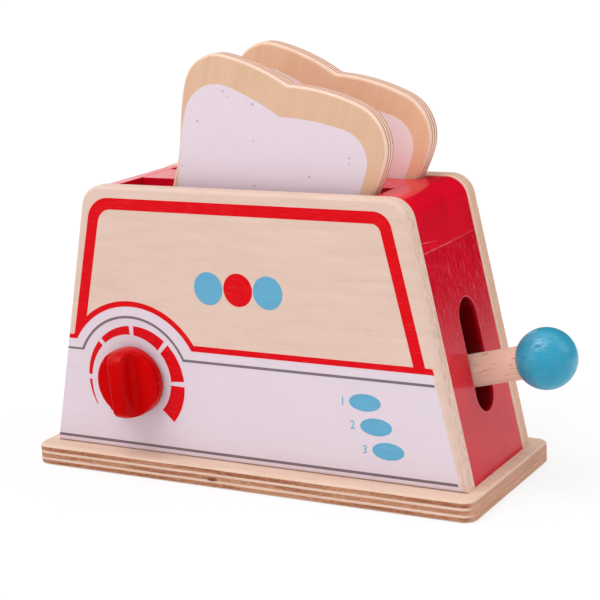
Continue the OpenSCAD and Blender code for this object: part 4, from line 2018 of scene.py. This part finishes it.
@dataclass
class Studio:
    """Floor, light and camera, with lengths in metres."""

    eye: Place = (0.352654, -0.615148, 0.239134)
    forward: Place = (-0.474648, 0.849609, -0.229944)
    roll: float = -2.732
    lens: float = 102.93
    sensor: float = 36.0
    floor_size: float = 30.0
    floor_colour: Colour = (0.95, 0.95, 0.95, 1.0)
    floor_roughness: float = 0.9
    floor_glow: float = 0.75
    white: Colour = (1.0, 1.0, 1.0, 1.0)
    ambient: float = 0.6
    mirrored: float = 0.02
    window: float = 1.3
    window_from: Point = (-0.45, -0.58)
    softbox: float = 1.0
    softbox_from: Point = (0.7, 0.88)
    mirrored_floor: Point = (0.4, 1.5)
    mirrored_front: Point = (-0.1, 0.1)
    suns: Sequence[tuple[str, Place, float, float]] = (
        ("overhead", (-0.25, -0.45, 1.0), 1.6, 50.0),
        ("right_fill", (1.0, 0.3, 0.7), 0.45, 40.0),
    )

    def build(self) -> None:
        """Sets up the studio."""
        self._floor()
        self._world()
        self._lamps()
        self._camera()
        bpy.context.scene.view_settings.view_transform = "Standard"

    @staticmethod
    def _seen(sheet: NodeSheet, path: Node) -> Socket:
        """1 for the rays of the camera and for those that pass through glass."""
        return sheet.larger(path.outputs["Is Camera Ray"], path.outputs["Is Transmission Ray"])

    def _floor(self) -> None:
        """White floor that keeps a soft share of the shadow, dim where lacquer mirrors it."""
        bm = bmesh.new()
        bmesh.ops.create_grid(bm, x_segments=1, y_segments=1, size=self.floor_size / 2 / MM)
        floor = as_object(bm, "floor")
        material = bpy.data.materials.new("white_floor")
        material.use_nodes = True
        nodes = material.node_tree.nodes
        sheet = NodeSheet(material.node_tree)
        shader = nodes["Principled BSDF"]
        sheet.fill(shader, {
            "Base Color": self.floor_colour, "Roughness": self.floor_roughness, "Specular IOR Level": 0.0,
        })
        path = nodes.new("ShaderNodeLightPath")
        mirrored = path.outputs["Is Glossy Ray"]
        x, y = sheet.parts(sheet.add("TexCoord", pick="Object"))[:2]
        dim = sheet.span(sheet.away(x, y, (0.0, 0.0)), *self.mirrored_floor, 1.0, self.mirrored)
        dim = sheet.smaller(dim, sheet.span(y, *self.mirrored_front, self.mirrored, 1.0))
        strength = sheet.span(mirrored, 0.0, 1.0, 1.0, dim)
        glow = sheet.add("Emission", {"Color": self.white, "Strength": strength})
        share = sheet.span(dim, 1.0, 0.5, self.floor_glow, 1.0)
        share = sheet.span(mirrored, 0.0, 1.0, self.floor_glow, share)
        share = sheet.times(sheet.larger(self._seen(sheet, path), mirrored), share)
        mixed = sheet.add("MixShader", {0: share, 1: shader.outputs[0], 2: glow})
        sheet.fill(nodes["Material Output"], {"Surface": mixed})
        coat(floor, material)

    def _world(self) -> None:
        """Even light, white where it is seen; lacquer mirrors a dim room with a window and a softbox."""
        world = bpy.data.worlds.new("studio")
        bpy.context.scene.world = world
        world.use_nodes = True
        nodes = world.node_tree.nodes
        sheet = NodeSheet(world.node_tree)
        path = nodes.new("ShaderNodeLightPath")
        x, _, z = sheet.parts(sheet.add("TexCoord", pick="Generated"))
        window = sheet.span(x, *self.window_from, self.mirrored, self.window)
        softbox = sheet.span(z, *self.softbox_from, self.mirrored, self.softbox)
        room = sheet.larger(window, softbox)
        strength = sheet.span(path.outputs["Is Glossy Ray"], 0.0, 1.0, self.ambient, room)
        strength = sheet.larger(strength, self._seen(sheet, path))
        sheet.fill(nodes["Background"], {"Color": self.white, "Strength": strength})

    def _lamps(self) -> None:
        """Broad soft suns, so that the floor is lit evenly."""
        for name, towards, strength, angle in self.suns:
            lamp = bpy.data.lights.new(name, "SUN")
            lamp.energy, lamp.angle = strength, math.radians(angle)
            made = in_scene(name, lamp)
            made.rotation_euler = (-Vector(towards)).to_track_quat("-Z", "Y").to_euler()

    def _camera(self) -> None:
        """Camera with a long lens and a slight roll."""
        camera = bpy.data.cameras.new("camera")
        camera.lens, camera.sensor_width, camera.sensor_fit = self.lens, self.sensor, "HORIZONTAL"
        made = in_scene("camera", camera)
        ahead = Vector(self.forward).normalized()
        right = ahead.cross(Vector((0, 0, 1))).normalized()
        up = right.cross(ahead)
        sine, cosine = math.sin(math.radians(self.roll)), math.cos(math.radians(self.roll))
        turn = Matrix((right * cosine + up * sine, up * cosine - right * sine, -ahead)).transposed()
        made.matrix_world = Matrix.Translation(self.eye) @ turn.to_4x4()
        bpy.context.scene.camera = made


def main() -> None:
    """Builds the studio and every piece, in order."""
    logging.basicConfig(level=logging.INFO, format="%(name)s: %(message)s")
    finishes = Finishes()
    cradle = Cradle()
    for builder in (
        Studio(),
        BasePlate(finishes),
        SidePanels(finishes),
        RedCore(finishes),
        FrontPrint(finishes),
        Toast(
            finishes, cradle, "front_toast", Body.FRONT_SLICE, front_y=-21.0, lean=0.0,
            crust=rgb(228, 188, 158), crust_deep=rgb(223, 180, 150),
        ),
        # The rear slice's crust and crumb are lighter than the front one's: painted light that makes up for
        # the shade the front slice casts on it.
        Toast(
            finishes, cradle, "rear_toast", Body.REAR_SLICE, front_y=16.5, lean=1.4,
            crust=rgb(246, 206, 173), crust_deep=rgb(240, 197, 162),
            crumb=replace(Toast.crumb, width=86.5, height=90.2, shift=-1.8),
            crumb_colour=rgb(252, 238, 243), specks=FRONT_SPECKS[:6],
        ),
        Lever(finishes, cradle),
        DialKnob(finishes),
        Inside(finishes, cradle),
    ):
        builder.build()
        LOG.info("%s is built", type(builder).__name__)


if __name__ == "__main__":
    main()
